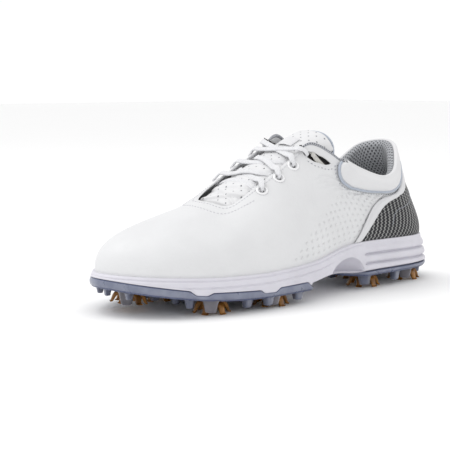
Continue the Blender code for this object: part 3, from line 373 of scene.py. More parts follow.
def sheet(name, outer, inner, mat, closed=False, uv=None, skip=None, **how):
    """A skin with thickness between two equal grids of points; skip drops cells (rows x columns)."""
    m, k = outer.shape[:2]
    size = m * k
    face = quads(m, k, wrap_rows=closed)
    keep = np.ones(len(face), bool) if skip is None else ~skip.ravel()
    back = (face + size)[:, ::-1]
    i = np.arange(m if closed else m - 1)
    j = (i + 1) % m
    low = np.stack([j * k, i * k, size + i * k, size + j * k], -1)
    high = np.stack([i * k + k - 1, j * k + k - 1, size + j * k + k - 1, size + i * k + k - 1], -1)
    parts = [face[keep], back[keep], low, high]
    if not closed:
        c = np.arange(k - 1)
        b = (m - 1) * k
        parts += [np.stack([c, c + 1, size + c + 1, size + c], -1),
                  np.stack([b + c + 1, b + c, size + b + c, size + b + c + 1], -1)]
    verts = np.concatenate([outer.reshape(-1, 3), inner.reshape(-1, 3)])
    both = None if uv is None else np.concatenate([uv.reshape(-1, 2), uv.reshape(-1, 2)])
    return put(name, verts, np.concatenate(parts), mat, uv=both, **how)


def frames(path, up=None, width_to=None, closed=False):
    """Sides and normals along a path; width_to fixes the side, up the normal."""
    p = np.asarray(path, float)
    t = unit((np.roll(p, -1, 0) - np.roll(p, 1, 0)) if closed else np.gradient(p, axis=0))
    up = np.broadcast_to(np.array((0, 0, 1.0)) if up is None else up, p.shape)
    side = np.cross(t, up) if width_to is None else width_to - t * (width_to * t).sum(1)[:, None]
    side = side / np.maximum(np.linalg.norm(side, axis=1), 1e-9)[:, None]
    return side, np.cross(side, t)


def sweep(name, path, mat, half, section=12, power=2.0, up=None, width_to=None, closed=False, **how):
    """A tube of superelliptical section: half is (width, thickness) along the path."""
    p = np.asarray(path, float)
    n = len(p)
    half = np.broadcast_to(np.asarray(half, float), (n, 2))
    side, nor = frames(p, up, width_to, closed)
    c, s = squarish(2 * math.pi * (np.arange(section) + 0.5) / section, 2 / power)
    wide, thick = (half[:, :1] * c)[..., None], (half[:, 1:] * s)[..., None]
    verts = p[:, None] + side[:, None] * wide + nor[:, None] * thick
    face = quads(n, section, wrap_rows=closed, wrap_cols=True).tolist()
    if not closed:
        face += [list(range(section))[::-1], [(n - 1) * section + i for i in range(section)]]
    uv = np.stack([np.repeat(running(p), section), np.tile(c, n) * np.repeat(half[:, 0], section)], -1)
    return put(name, verts.reshape(-1, 3), face, mat, uv=uv, **how)


def turned(name, profile, mat, centre, sides=40, axis=(0, 0, 1), closed=False, **how):
    """A profile of (radius, height) turned about an axis."""
    z = np.asarray(axis, float) / np.linalg.norm(axis)
    x = np.cross(z, (0.3, 1, 0.2))
    x /= np.linalg.norm(x)
    y = np.cross(z, x)
    pr = np.asarray(profile, float)
    th = 2 * math.pi * np.arange(sides) / sides
    ring = x * np.cos(th)[:, None] + y * np.sin(th)[:, None]
    verts = np.asarray(centre, float) + z * pr[:, None, 1:] + ring[None] * pr[:, None, :1]
    face = quads(len(pr), sides, wrap_rows=closed, wrap_cols=True).tolist()
    if not closed:
        face += [list(range(sides))[::-1], [(len(pr) - 1) * sides + i for i in range(sides)]]
    return put(name, verts.reshape(-1, 3), face, mat, **how)


STITCH_RINGS = ((-0.5, 0.35), (-0.42, 0.8), (-0.2, 1), (0.2, 1), (0.42, 0.8), (0.5, 0.35))  # place, radius
STITCH_SIDES = 6
SUNK = 0.05  # how far a stitch is pulled into the leather


def stitches(name, centres, along, normal, mat, length=2.2, thick=0.34, gap=0.9, **how):
    """A row of thread stitches: short rounded stubs lying along a path of points."""
    p = np.asarray(centres, float)
    s = running(p)
    count = max(1, int(s[-1] / (length + gap)))
    mid = (np.arange(count) + 0.5) * s[-1] / count

    def spread(rows):
        return np.stack([np.interp(mid, s, rows[:, k]) for k in range(3)], -1)

    c, t, n = spread(p), unit(spread(along)), unit(spread(normal))
    b = np.cross(t, n)
    verts = []
    for x, radius in STITCH_RINGS:
        arch = 0.5 * thick * (1 - 4.4 * x * x)
        for k in range(STITCH_SIDES):
            q = 2 * math.pi * k / STITCH_SIDES
            rise = math.sin(q) * thick * radius + arch - SUNK
            verts.append(c + t * x * length + b * math.cos(q) * thick * radius + n * rise)
    ends = np.array([[3, 2, 1, 0], [5, 4, 3, 0], [30, 31, 32, 33], [30, 33, 34, 35]])
    one = np.concatenate([quads(len(STITCH_RINGS), STITCH_SIDES, wrap_cols=True), ends])
    face = (one[None] + len(verts) * np.arange(count)[:, None, None]).reshape(-1, 4)
    return put(name, np.stack(verts, 1).reshape(-1, 3), face, mat, **how)


def stitch_line(name, av, off, mat, side=1, **how):
    """Stitches along an (a, v) line on the leather."""
    line = rounded(av, 160)
    p, n, _ = skin_axes(to_side(line[:, 0], side), line[:, 1])
    p = p + n * off
    return stitches(name, p, np.gradient(p, axis=0), n, mat, **how)


# ---------------------------------------------------------------- materials
def make(tree, kind, inputs=None, **props):
    """A shader node with its properties set and its inputs set or linked."""
    n = tree.nodes.new("ShaderNode" + kind)
    for key, value in props.items():
        setattr(n, key, value)
    for key, value in (inputs or {}).items():
        if isinstance(value, bpy.types.NodeSocket):
            tree.links.new(value, n.inputs[key])
        else:
            n.inputs[key].default_value = value
    return n


def start(name, rough=0.5, **sockets):
    """A material with its Principled shader and object coordinates."""
    m = bpy.data.materials.new(name)
    m.use_nodes = True
    tree = m.node_tree
    b = tree.nodes["Principled BSDF"]
    b.inputs["Roughness"].default_value = rough
    for key, value in sockets.items():
        b.inputs[key.replace("_", " ")].default_value = value
    coords = make(tree, "TexCoord").outputs["Object"]
    return m, tree, b, coords


def calculator(tree):
    """A function that adds one Math node to the tree and gives its result."""
    def calc(op, *values):
        return make(tree, "Math", dict(enumerate(values)), operation=op).outputs[0]

    return calc


def noise(tree, coords, scale, detail=3.0):
    """Height of a noise texture."""
    inputs = {"Vector": coords, "Scale": scale, "Detail": detail, "Roughness": 0.55}
    return make(tree, "TexNoise", inputs).outputs[0]


def tint(tree, b, fac, dark, light, low=0.35, high=0.65):
    """Base colour that runs from dark to light as fac goes from low to high."""
    ramp = make(tree, "ValToRGB", {"Fac": fac})
    first, last = ramp.color_ramp.elements
    first.position, first.color = low, (*dark, 1)
    last.position, last.color = high, (*light, 1)
    tree.links.new(ramp.outputs[0], b.inputs["Base Color"])


def bump(tree, b, *layers):
    """Stacks (height socket, depth in metres) layers into the shader's normal."""
    last = None
    for h, depth in layers:
        n = make(tree, "Bump", {"Height": h, "Distance": depth, "Strength": 1.0})
        if last is not None:
            tree.links.new(last, n.inputs["Normal"])
        last = n.outputs[0]
    tree.links.new(last, b.inputs["Normal"])


def vary_rough(tree, b, fac, lo, hi):
    """Roughness that wanders between lo and hi."""
    r = make(tree, "MapRange", {"Value": fac, "From Min": 0.3, "From Max": 0.7, "To Min": lo, "To Max": hi})
    tree.links.new(r.outputs[0], b.inputs["Roughness"])


def leather(name, dark, light, grain=900.0, rough=(0.36, 0.5)):
    """Smooth full-grain leather: fine pebble, faint clouding and pores."""
    m, tree, b, co = start(name, Specular_IOR_Level=0.45)
    tint(tree, b, noise(tree, co, 38.0, 4.0), dark, light)
    pebble = make(tree, "TexVoronoi", {"Vector": co, "Scale": grain, "Smoothness": 0.6},
                  feature="SMOOTH_F1").outputs["Distance"]
    fine = noise(tree, co, grain * 2.4, 2.0)
    soft = noise(tree, co, 120.0, 2.0)
    vary_rough(tree, b, noise(tree, co, 160.0, 3.0), *rough)
    bump(tree, b, (pebble, 0.00006), (fine, 0.000024), (soft, 0.00018))
    return m


def cloth_axes(tree):
    """The piece's own cloth coordinates, in mm."""
    uv = make(tree, "UVMap", uv_map="cloth").outputs[0]
    split = make(tree, "SeparateXYZ", {0: uv})
    return split.outputs[0], split.outputs[1]


def ripple(calc, value, period):
    """0 to 1 wave of a coordinate with the period in mm."""
    turns = calc("MULTIPLY_ADD", value, 2 * math.pi / period, 0.0)
    return calc("MULTIPLY_ADD", calc("SINE", turns), 0.5, 0.5)


def spacer_mesh(name, dark, light, pitch=2.2):
    """Knitted spacer mesh: rounded yarns around staggered open cells, the cells painted dark as shade."""
    m, tree, b, co = start(name, 0.85, Sheen_Weight=0.15, Specular_IOR_Level=0.25)
    calc = calculator(tree)
    u, v = cloth_axes(tree)
    rising = calc("ADD", u, calc("MULTIPLY", v, 0.6))
    falling = calc("SUBTRACT", u, calc("MULTIPLY", v, 0.6))
    cells = calc("MULTIPLY", ripple(calc, rising, pitch), ripple(calc, falling, pitch))
    yarn = calc("SUBTRACT", 1.0, cells)
    fuzz = noise(tree, co, 2600.0, 2.0)
    # the open cells are painted dark as the shade inside them and the yarn tops light, with random fuzz tone
    # on top
    tint(tree, b, calc("MULTIPLY_ADD", fuzz, 0.3, calc("MULTIPLY", yarn, 0.8)), dark, light, 0.43, 0.85)
    bump(tree, b, (yarn, 0.0004), (fuzz, 0.00008))
    return m


def zigzag_weave(name):
    """Charcoal jacquard with silver chevron columns that climb the panel."""
    m, tree, b, co = start(name, 0.5, Specular_IOR_Level=0.22)
    calc = calculator(tree)
    u, v = cloth_axes(tree)
    leaning = calc("MULTIPLY_ADD", v, -0.55, u)
    column = ripple(calc, calc("MULTIPLY_ADD", calc("PINGPONG", v, 1.7), 0.95, leaning), 4.2)
    thread = ripple(calc, v, 0.85)
    fleck = noise(tree, co, 900.0, 2.0)
    line = calc("MULTIPLY_ADD", thread, 0.16, calc("MULTIPLY_ADD", fleck, 0.34, column))
    tint(tree, b, calc("MULTIPLY", line, 0.7), (0.018, 0.018, 0.022), (0.46, 0.46, 0.45), 0.62, 0.95)
    bump(tree, b, (line, 0.00022), (thread, 0.00008))
    return m


def flat_weave(name, dark, light, rib=0.9, depth=0.00016, rough=0.75):
    """Tubular braid pressed flat: V-shaped yarns along the length, darker in the grooves between them as
    painted shade.
    """
    m, tree, b, co = start(name, rough, Sheen_Weight=0.2, Specular_IOR_Level=0.3)
    calc = calculator(tree)
    u, v = cloth_axes(tree)
    slant = calc("ABSOLUTE", calc("SINE", calc("MULTIPLY", v, 2.6)))
    chevron = ripple(calc, calc("MULTIPLY_ADD", slant, 0.8, u), rib)
    across = ripple(calc, v, rib * 1.05)
    weave = calc("MULTIPLY_ADD", chevron, 0.6, calc("MULTIPLY", across, 0.4))
    fuzz = noise(tree, co, 3000.0, 2.0)
    # tone follows the weave's height, painted darker in its grooves as shade, with random fuzz tone on top
    tint(tree, b, calc("MULTIPLY_ADD", fuzz, 0.35, calc("MULTIPLY", weave, 0.65)), dark, light)
    bump(tree, b, (weave, depth), (fuzz, 0.00006))
    return m


def moulded(name, dark, light, rough=(0.4, 0.55), grain=700.0, depth=0.00003, cloud=60.0, **sockets):
    """Moulded plastic or foam: fine skin texture and slight clouding."""
    m, tree, b, co = start(name, **sockets)
    tint(tree, b, noise(tree, co, cloud, 3.0), dark, light)
    vary_rough(tree, b, noise(tree, co, 200.0, 2.0), *rough)
    bump(tree, b, (noise(tree, co, grain, 3.0), depth), (noise(tree, co, grain * 0.12, 2.0), depth * 3))
    return m


def perforated(name, dark, light):
    """Soft tongue leather with small punched holes in staggered rows, their insides painted dark as shade."""
    m, tree, b, co = start(name, 0.48, Specular_IOR_Level=0.4)
    calc = calculator(tree)
    u, v = cloth_axes(tree)
    pitch, spacing = 8.0, 4.0  # mm between holes and between rows
    odd = calc("MODULO", calc("ABSOLUTE", calc("FLOOR", calc("DIVIDE", v, spacing))), 2.0)
    moved = calc("ADD", u, calc("MULTIPLY", odd, pitch / 2))
    x = calc("SUBTRACT", calc("FLOORED_MODULO", moved, pitch), pitch / 2)
    y = calc("SUBTRACT", calc("FLOORED_MODULO", v, spacing), spacing / 2)
    away = calc("SQRT", calc("ADD", calc("MULTIPLY", x, x), calc("MULTIPLY", y, y)))
    fade = {"Value": away, "From Min": 0.40, "From Max": 0.62, "To Min": 1.0, "To Max": 0.0}
    hole = make(tree, "MapRange", fade).outputs[0]
    cloud = {"Factor": noise(tree, co, 60.0), "A": (*dark, 1), "B": (*light, 1)}
    face = make(tree, "Mix", cloud, data_type="RGBA").outputs["Result"]
    # the holes are painted dark grey as the shade inside them; the bump sinks them as well
    punched = {"Factor": hole, "A": face, "B": (0.16, 0.17, 0.19, 1)}
    colour = make(tree, "Mix", punched, data_type="RGBA").outputs["Result"]
    tree.links.new(colour, b.inputs["Base Color"])
    pebble = make(tree, "TexVoronoi", {"Vector": co, "Scale": 800.0}, feature="SMOOTH_F1").outputs["Distance"]
    sunk = calc("SUBTRACT", 1.0, hole)
    bump(tree, b, (sunk, 0.0004), (pebble, 0.00006), (noise(tree, co, 90.0), 0.0004))
    return m


WHITE = leather("white leather", (0.665, 0.668, 0.678), (0.69, 0.693, 0.703))
# the heel's white leather: its own finer grain, and a darker tone painted as shade where the heel faces away
# from the light
HEEL_WHITE_SHADED = leather("shaded white heel leather", (0.64, 0.64, 0.655), (0.67, 0.67, 0.685), grain=1000)
LOBE_WHITE = leather("white collar leather", (0.67, 0.67, 0.68), (0.70, 0.70, 0.71), grain=800,
                     rough=(0.42, 0.55))
TONGUE_WHITE = perforated("perforated tongue leather", (0.68, 0.68, 0.69), (0.72, 0.72, 0.73))
KEEPER_WHITE = leather("lace keeper leather", (0.66, 0.66, 0.675), (0.70, 0.70, 0.71), grain=1100)
WOVEN = zigzag_weave("charcoal chevron weave")
MESH = spacer_mesh("grey mesh lining", (0.09, 0.092, 0.10), (0.40, 0.41, 0.43))
MESH_DARK = spacer_mesh("dark grey edge mesh", (0.08, 0.085, 0.10), (0.40, 0.41, 0.44), pitch=1.7)
PIPING_CLOTH = flat_weave("blue grey piping cloth", (0.36, 0.40, 0.47), (0.50, 0.54, 0.61), rib=0.6,
                          depth=0.0001, rough=0.55)
LACE_CLOTH = flat_weave("white lace braid", (0.64, 0.645, 0.67), (0.84, 0.84, 0.855))
WEB_CLOTH = flat_weave("greige webbing", (0.50, 0.49, 0.46), (0.72, 0.71, 0.68), rib=0.7)
THREAD = flat_weave("white thread", (0.50, 0.50, 0.53), (0.66, 0.66, 0.69), rib=0.3, depth=0.00004)
GREY_THREAD = flat_weave("grey thread", (0.20, 0.21, 0.24), (0.34, 0.35, 0.39), rib=0.3, depth=0.00004)
EVA = moulded("white EVA foam", (0.60, 0.59, 0.645), (0.64, 0.63, 0.685), rough=(0.42, 0.55), grain=900,
              depth=0.00004)


def tpu(name, dark, light, rough, clear, **how):
    """Slightly see-through TPU with a moulded grain."""
    return moulded(name, dark, light, rough, 260, Transmission_Weight=clear, IOR=1.48, **how)


TPU = tpu("blue grey TPU", (0.185, 0.205, 0.29), (0.265, 0.285, 0.37), (0.26, 0.4), 0.18, depth=0.00005,
          cloud=90.0, Coat_Weight=0.15)
# darker blue painted on the plates' underside and top edge bands as shade where the rounded rim turns from
# the light
TPU_EDGE_SHADE = tpu("deep blue TPU edge shade", (0.075, 0.09, 0.17), (0.12, 0.14, 0.23), (0.25, 0.4), 0.1,
               depth=0.00004)
# a darker copy of the blue-grey TPU for the lugs, painted shade for their place under the sole
TPU_LUG_SHADED = tpu("shaded blue grey TPU lug", (0.10, 0.112, 0.17), (0.17, 0.185, 0.255), (0.3, 0.45), 0.15,
              depth=0.00005, cloud=90.0)
TPU_SMOKE = tpu("smoke TPU lug", (0.12, 0.115, 0.135), (0.20, 0.19, 0.215), (0.3, 0.45), 0.2,
                depth=0.00004)
AMBER = moulded("amber TPU cleat", (0.15, 0.055, 0.005), (0.36, 0.15, 0.014), (0.35, 0.5), 300,
                cloud=160.0, Transmission_Weight=0.05, IOR=1.45, Coat_Weight=0.05)
NYLON = moulded("black nylon", (0.018, 0.018, 0.022), (0.04, 0.04, 0.045), rough=(0.35, 0.5))
ENAMEL = moulded("white enamel", (0.80, 0.80, 0.81), (0.84, 0.84, 0.85), (0.16, 0.26), 500,
                 depth=0.00001, Coat_Weight=0.4)
FILM = moulded("clear film", (0.72, 0.73, 0.75), (0.80, 0.81, 0.83), rough=(0.12, 0.2),
               Transmission_Weight=0.3)
FOAM = moulded("open cell foam", (0.66, 0.64, 0.55), (0.80, 0.78, 0.70), rough=(0.8, 0.95), grain=1500,
               depth=0.0003)
BOARD = moulded("fibre board", (0.46, 0.37, 0.26), (0.62, 0.52, 0.39), rough=(0.7, 0.85), grain=1100,
                depth=0.0001, cloud=400)
CORK = moulded("cork filler", (0.30, 0.18, 0.09), (0.58, 0.40, 0.24), rough=(0.75, 0.9), grain=500,
               depth=0.0002, cloud=700)
STEEL = moulded("spring steel", (0.42, 0.43, 0.45), (0.58, 0.59, 0.61), rough=(0.25, 0.4), Metallic=1.0)
STIFF = moulded("counter board", (0.48, 0.43, 0.34), (0.60, 0.55, 0.46), rough=(0.65, 0.8), grain=900,
                depth=0.0001)
SOCK = moulded("sockliner cloth", (0.19, 0.195, 0.21), (0.30, 0.305, 0.325), rough=(0.8, 0.95), grain=2200,
               depth=0.0002, cloud=1500)
# near-black painted shade, for the strips behind the lace slots and the cleats' key holes
DARK = moulded("painted hole shade", (0.02, 0.018, 0.018), (0.05, 0.045, 0.045), rough=(0.8, 0.9))

HIDDEN = {"toe_puff": STIFF, "heel_counter": STIFF, "collar_foam": FOAM, "tongue_foam": FOAM,
          "insole_board": BOARD, "bottom_filler": CORK, "shank": STEEL, "aglet_1": FILM, "aglet_2": FILM,
          "sockliner": SOCK}  # CAD pieces that keep their own shape
for node, mat in HIDDEN.items():
    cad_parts[node].data.materials[0] = mat
for i in range(1, len(CLEATS) + 1):
    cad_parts[f"receptacle_{i}"].data.materials[0] = NYLON

# ---------------------------------------------------------------- upper
DIMPLE_FRONT, DIMPLE_BACK, DIMPLE_TOP = 0.435, 0.86, 0.75  # ends in a and top in v of the dimples' upper edge
DIMPLE_PITCH, DIMPLE_ROW, DIMPLE_SLOPE = 6.1, 4.6, 0.62  # mm along a row, mm between rows, columns' lean
WRINKLES = [  # creases that fan out below the front of the collar
    ((0.705, 0.600), (0.655, 0.640), (0.595, 0.655)), ((0.705, 0.590), (0.655, 0.612), (0.590, 0.600)),
    ((0.712, 0.575), (0.668, 0.575), (0.620, 0.550)), ((0.730, 0.590), (0.690, 0.545), (0.650, 0.495)),
    ((0.752, 0.610), (0.720, 0.560), (0.690, 0.500)), ((0.776, 0.640), (0.752, 0.580), (0.728, 0.510)),
    ((0.800, 0.665), (0.780, 0.600), (0.760, 0.530)), ((0.690, 0.68), (0.64, 0.70), (0.585, 0.69)),
    ((0.74, 0.60), (0.704, 0.55), (0.672, 0.49)), ((0.788, 0.65), (0.766, 0.59), (0.742, 0.52))]


def segment_distance(s, t, line):
    """Distance in mm from points to a polyline of (a, v), and how far along it they lie."""
    best, where = np.full(s.shape, 1e9), np.zeros(s.shape)
    q = np.asarray(line, float) * (LENGTH_A, HEIGHT_V)
    for i in range(len(q) - 1):
        d = q[i + 1] - q[i]
        u = np.clip(((s - q[i, 0]) * d[0] + (t - q[i, 1]) * d[1]) / (d @ d), 0, 1)
        r = np.hypot(s - q[i, 0] - u * d[0], t - q[i, 1] - u * d[1])
        closer = r < best
        best, where = np.where(closer, r, best), np.where(closer, (i + u) / (len(q) - 1), where)
    return best, where


def relief(a, v):
    """Height in mm of the leather's own relief: dimples, creases and a soft unevenness."""
    half = 1 - abs(a % 2.0 - 1)
    s, t = half * LENGTH_A, v * HEIGHT_V
    edge = DIMPLE_TOP * np.clip((half - DIMPLE_FRONT) / (DIMPLE_BACK - DIMPLE_FRONT), 0, 1) ** 0.55
    inside = smoothstep(-2.0, 3.0, (edge - v) * HEIGHT_V) * smoothstep(0.415, 0.44, half)
    inside = inside * smoothstep(0.0, 0.03, v) * smoothstep(0.865, 0.85, half)
    p, q = (s - DIMPLE_SLOPE * t) / DIMPLE_PITCH, t / DIMPLE_ROW
    row = np.floor(q + 0.5)
    dp = (p + 0.5 * (row % 2) + 0.5) % 1.0 - 0.5
    dq = q - row
    x, y = dp * DIMPLE_PITCH + DIMPLE_SLOPE * dq * DIMPLE_ROW, dq * DIMPLE_ROW
    streak = smoothstep(0.45, 0.62, v)
    along, across = 0.85 * x + 0.53 * y, -0.53 * x + 0.85 * y
    width, run = 0.8, 0.95 + 2.2 * streak
    dimple = np.exp(-((across / width) ** 2 + (along / run) ** 2) ** 1.5)
    h = -1.15 * dimple * inside
    # a low ridge along one side of each dimple
    h += 0.22 * np.exp(-(((across - 1.6) / 0.9) ** 2 + (along / run) ** 2)) * inside
    for line in WRINKLES:
        r, u = segment_distance(s, t, line)
        fade = np.sin(np.pi * np.clip(u * 0.86 + 0.1, 0, 1))
        h += fade * (0.34 * np.exp(-((r - 1.5) / 1.3) ** 2) - 0.55 * np.exp(-(r / 1.0) ** 2))
    h += 0.10 * wave(3, s / 17, t / 11) * smoothstep(0.03, 0.2, v) * smoothstep(0.98, 0.8, v)
    return h * smoothstep(0.0, 0.04, v) - 0.25 * smoothstep(0.03, 0.0, v)


def crossing(points, a, v):
    """Which cells of an (a, v) grid hold a closed outline of (a, v) points."""
    inside = np.zeros(a.shape, bool)
    q = np.asarray(points, float)
    for (a0, v0), (a1, v1) in zip(q, np.roll(q, -1, 0)):
        cut = (v0 > v) != (v1 > v)
        with np.errstate(divide="ignore", invalid="ignore"):
            x = a0 + (v - v0) * (a1 - a0) / (v1 - v0)
        inside ^= cut & (a < x)
    return inside


EYELET_HOLE = 2.7
SLOT_POINTS = 40
SLOT = rounded(GHILLIE, SLOT_POINTS)
SLOT_WIDTHS = [(0, 0.4), (0.12, 1.7), (0.3, 2.7), (0.6, 2.9), (0.85, 1.9), (1, 0.4)]  # along it, half width
SLOT_HALF = np.interp(np.linspace(0, 1, SLOT_POINTS), *zip(*SLOT_WIDTHS))


def slot_outline(grow):
    """Closed (a, v) outline of the lace slot, grown by so many mm."""
    scale = (LENGTH_A, LOW_V)
    mid = SLOT * scale
    d = unit(np.gradient(mid, axis=0))
    n = np.stack([-d[:, 1], d[:, 0]], -1)
    w = (SLOT_HALF + grow)[:, None]
    mid[0] -= d[0] * grow
    mid[-1] += d[-1] * grow
    return np.concatenate([mid + n * w, (mid - n * w)[::-1]]) / scale


def hole_cells(a, v):
    """Cells of the leather grid that the eyelets and lace slots open."""
    half = 1 - abs(a % 2.0 - 1)
    open_cell = np.zeros(a.shape, bool)
    for ea, ev in EYELETS:
        open_cell |= np.hypot((half - ea) * LENGTH_A, (v - ev) * EYELET_V) < EYELET_HOLE
    return open_cell | crossing(slot_outline(0.1), half, v)


HALF = spaced([0, 0.05, 0.30, 0.42, 0.86, 1.0], [0.004, 0.0042, 0.0032, 0.0019, 0.0045])
AROUND = np.concatenate([HALF, (2 - HALF[1:-1])[::-1]])
UP = np.append(-0.008, spaced([0, 0.06, 0.82, 0.985, 1.0], [0.012, 0.0085, 0.0078, 0.004]))


LEATHER = 1.6  # thickness


def leather_piece():
    """The whole leather upper in one skin, with its relief and its eyelet and slot openings."""
    m, k = len(AROUND), len(UP)
    a, v = np.repeat(AROUND, k), np.tile(UP, m)
    p, n, t = skin_axes(a, v)
    eased_edge = 0.35 * smoothstep(0.985, 1.0, v)
    outer = (p + n * (relief(a, v) - eased_edge)[:, None]).reshape(m, k, 3)
    inner = (p - n * (LEATHER - eased_edge)[:, None]).reshape(m, k, 3)
    # the cut edge is rounded over by two more columns of points
    turn = (n * -0.8 + t * 0.55).reshape(m, k, 3)[:, -1:]
    mid = p.reshape(m, k, 3)[:, -1:] + turn
    outer, inner = np.concatenate([outer, mid], 1), np.concatenate([inner, mid], 1)
    ca = np.broadcast_to((AROUND + np.append(AROUND[1:], 2.0))[:, None] / 2, (m, k))
    cv = np.broadcast_to(np.append((UP[:-1] + UP[1:]) / 2, 1.0)[None], (m, k))
    return sheet("leather_upper", outer, inner, WHITE, closed=True, skip=hole_cells(ca, cv), replaces="upper")


leather_piece()

# stitched rows: two round the throat and up the facing, one below each lace slot
BESIDE_EYELETS = [(a, v + 0.055 - 0.05 * (a - 0.385)) for a, v in EYELETS]
INNER_ROW = [(0.0, 0.98), (0.12, 0.975), (0.27, 0.955)] + BESIDE_EYELETS + [(0.60, 0.972)]
OUTER_ROW = [(0.035 * i, 0.93 - 0.09 * (i / 10) ** 1.4) for i in range(11)]
SLOT_ROW = slot_outline(2.2)[42:78]
for side, word in SIDES:
    for place, row in (("inner", INNER_ROW), ("outer", OUTER_ROW)):
        stitch_line(f"throat_stitch_{place}_{word}", row, 0.05, THREAD, side, length=1.7, thick=0.24, gap=0.8)
    stitch_line(f"slot_stitch_{word}", SLOT_ROW, 0.05, GREY_THREAD, side, length=1.4, thick=0.24, gap=1.3)

# lace slots: a rolled edge, and behind each a dark strip painted as the shade seen through the slot
for side, word in SIDES:
    ring = slot_outline(0.35)
    ring = rounded(np.append(ring, ring[:1], axis=0), 120, passes=2)[:-1]
    p, n, _ = skin_axes(to_side(ring[:, 0], side), ring[:, 1])
    sweep(f"slot_edge_{word}", p - n * 0.35, WHITE, (0.75, 0.75), up=n, closed=True, section=10)
    back = resample(SLOT, 12)
    strip = [skin(to_side(back[:, 0], side), back[:, 1] + d, -2.6) for d in (-0.085, 0.085)]
    strip = np.stack(strip, 1)
    sheet(f"slot_shadow_strip_{word}", strip, strip - (0, 0, 0.6), DARK)


# ---------------------------------------------------------------- linings
LINING_TOP = ([0.0, 0.18, 0.25, 0.28, 0.60, 0.66, 0.72, 1.0],
              [0.84, 0.84, 0.78, 0.76, 0.76, 0.80, 0.965, 0.965])


def lining_piece():
    """The mesh lining, two thin skins inside the leather."""
    st = np.linspace(0, 2, 241)[:-1]
    k = 30  # points up the lining
    top = np.interp(1 - abs(st - 1), *LINING_TOP)
    a, v = np.repeat(st, k), (top[:, None] * np.linspace(0, 1, k)).ravel()
    uv = np.stack([a * LENGTH_A, v * HEIGHT_V], -1)
    grids = [skin(a, v, off).reshape(-1, k, 3) for off in (-3.9, -4.7)]
    return sheet("mesh_lining", *grids, MESH, closed=True, uv=uv, replaces="lining")


lining_piece()


def collar_lining_piece():
    """Padded mesh round the ankle: up the inner wall, over the top edge and down again beneath."""
    st = np.linspace(0.75, 1.25, 150)
    wall = [(0.60 + 0.39 * f, -6.1 - 1.2 * math.sin(math.pi * f) ** 0.8, 0.0)
            for f in np.linspace(0, 0.97, 24)]
    over = [(0.995, -6.2, 0.7), (1.0, -5.9, 1.6), (1.0, -5.2, 2.5), (1.0, -4.2, 3.15), (1.0, -3.0, 3.5),
            (1.0, -1.9, 3.45), (1.0, -1.1, 3.0)]
    inside = [(0.99, -5.2, 0.3), (1.0, -4.9, 1.1), (1.0, -4.4, 1.7), (1.0, -3.7, 2.2), (1.0, -2.9, 2.5),
              (1.0, -1.9, 2.5), (1.0, -1.3, 2.3)]
    under = [(v, off + 0.8, lift) for v, off, lift in wall] + inside
    grids = []
    for rows in (wall + over, under):
        v, off, lift = (np.tile([r[c] for r in rows], len(st)) for c in range(3))
        grids.append(skin(np.repeat(st, len(rows)), v, off, lift).reshape(len(st), len(rows), 3))
    run = np.concatenate([[0], np.cumsum(np.linalg.norm(np.diff(grids[0], axis=1), axis=2).mean(0))])
    uv = np.stack([np.repeat(st * LENGTH_A, len(run)), np.tile(run, len(st))], -1)
    return sheet("collar_mesh", *grids, MESH, uv=uv, replaces="collar_lining")


collar_lining_piece()


# ---------------------------------------------------------------- heel
def heel_layer(name, low, high, start_a, out, mat, edge=0.35, thick=0.9, **how):
    """A closed patch round the heel between two v lines, with eased edges."""
    rows = 34
    half = np.linspace(start_a, 1.0, 90)
    st = np.concatenate([half, (2 - half[:-1])[::-1]])
    h = 1 - abs(st - 1)
    lo = np.interp(h, *zip(*low))
    hi = np.maximum(np.interp(h, *zip(*high)), lo + 0.002)
    f = 0.5 - 0.5 * np.cos(np.pi * np.linspace(0, 1, rows))
    a, v = np.repeat(st, rows), (lo[:, None] + (hi - lo)[:, None] * f).ravel()
    ff = np.tile(f, len(st))
    rim = np.minimum(ff, 1 - ff) * np.repeat((hi - lo) * HEIGHT_V, rows)
    offs = (out - edge * (1 - smoothstep(0, 1.0, rim)), out - thick)
    grids = [skin(a, v, off).reshape(-1, rows, 3) for off in offs]
    return sheet(name, *grids, mat, uv=np.stack([a * LENGTH_A, v * HEIGHT_V], -1), **how)


SOLE_LINE = [(0.60, 0.0), (1.0, 0.0)]
heel_layer("heel_weave", SOLE_LINE, PANEL_TOP, 0.664, 1.7, WOVEN, replaces="heel_panel")
heel_layer("heel_band", [(BAND_TOP[0][0], 0.0)] + PANEL_TOP, BAND_TOP, 0.641, 2.35, HEEL_WHITE_SHADED,
           edge=0.7, thick=1.5, replaces="heel_overlay")
band_edge = rounded([(a, v - 0.012) for a, v in BAND_TOP[:6]], 90)
for side, word in SIDES:
    p, n, _ = skin_axes(to_side(band_edge[:, 0] + 0.004, side), band_edge[:, 1])
    sweep(f"band_ridge_{word}", p + n * 2.25, HEEL_WHITE_SHADED, (0.32, 0.32), up=n, section=8)
ARC = [(0.775, 0.20), (0.80, 0.36), (0.835, 0.48), (0.88, 0.545), (0.925, 0.56), (1.0, 0.56)]
arc = rounded(ARC + [(2 - a, v) for a, v in reversed(ARC[:-1])], 240)
p, n, _ = skin_axes(arc[:, 0], arc[:, 1])
sweep("heel_arc_seam", p + n * 1.7, GREY_THREAD, (0.28, 0.3), up=n, section=8)

# ---------------------------------------------------------------- collar lobe and its piping
RIM = 220  # points along the piping
pipe_av = rounded(PIPING + [(2 - a, v) for a, v in reversed(PIPING[:-1])], RIM, passes=1)
p, n, _ = skin_axes(pipe_av[:, 0], pipe_av[:, 1])
sweep("collar_piping_cord", p + n * 1.8, PIPING_CLOTH, (1.05, 1.05), up=n, replaces="collar_piping")


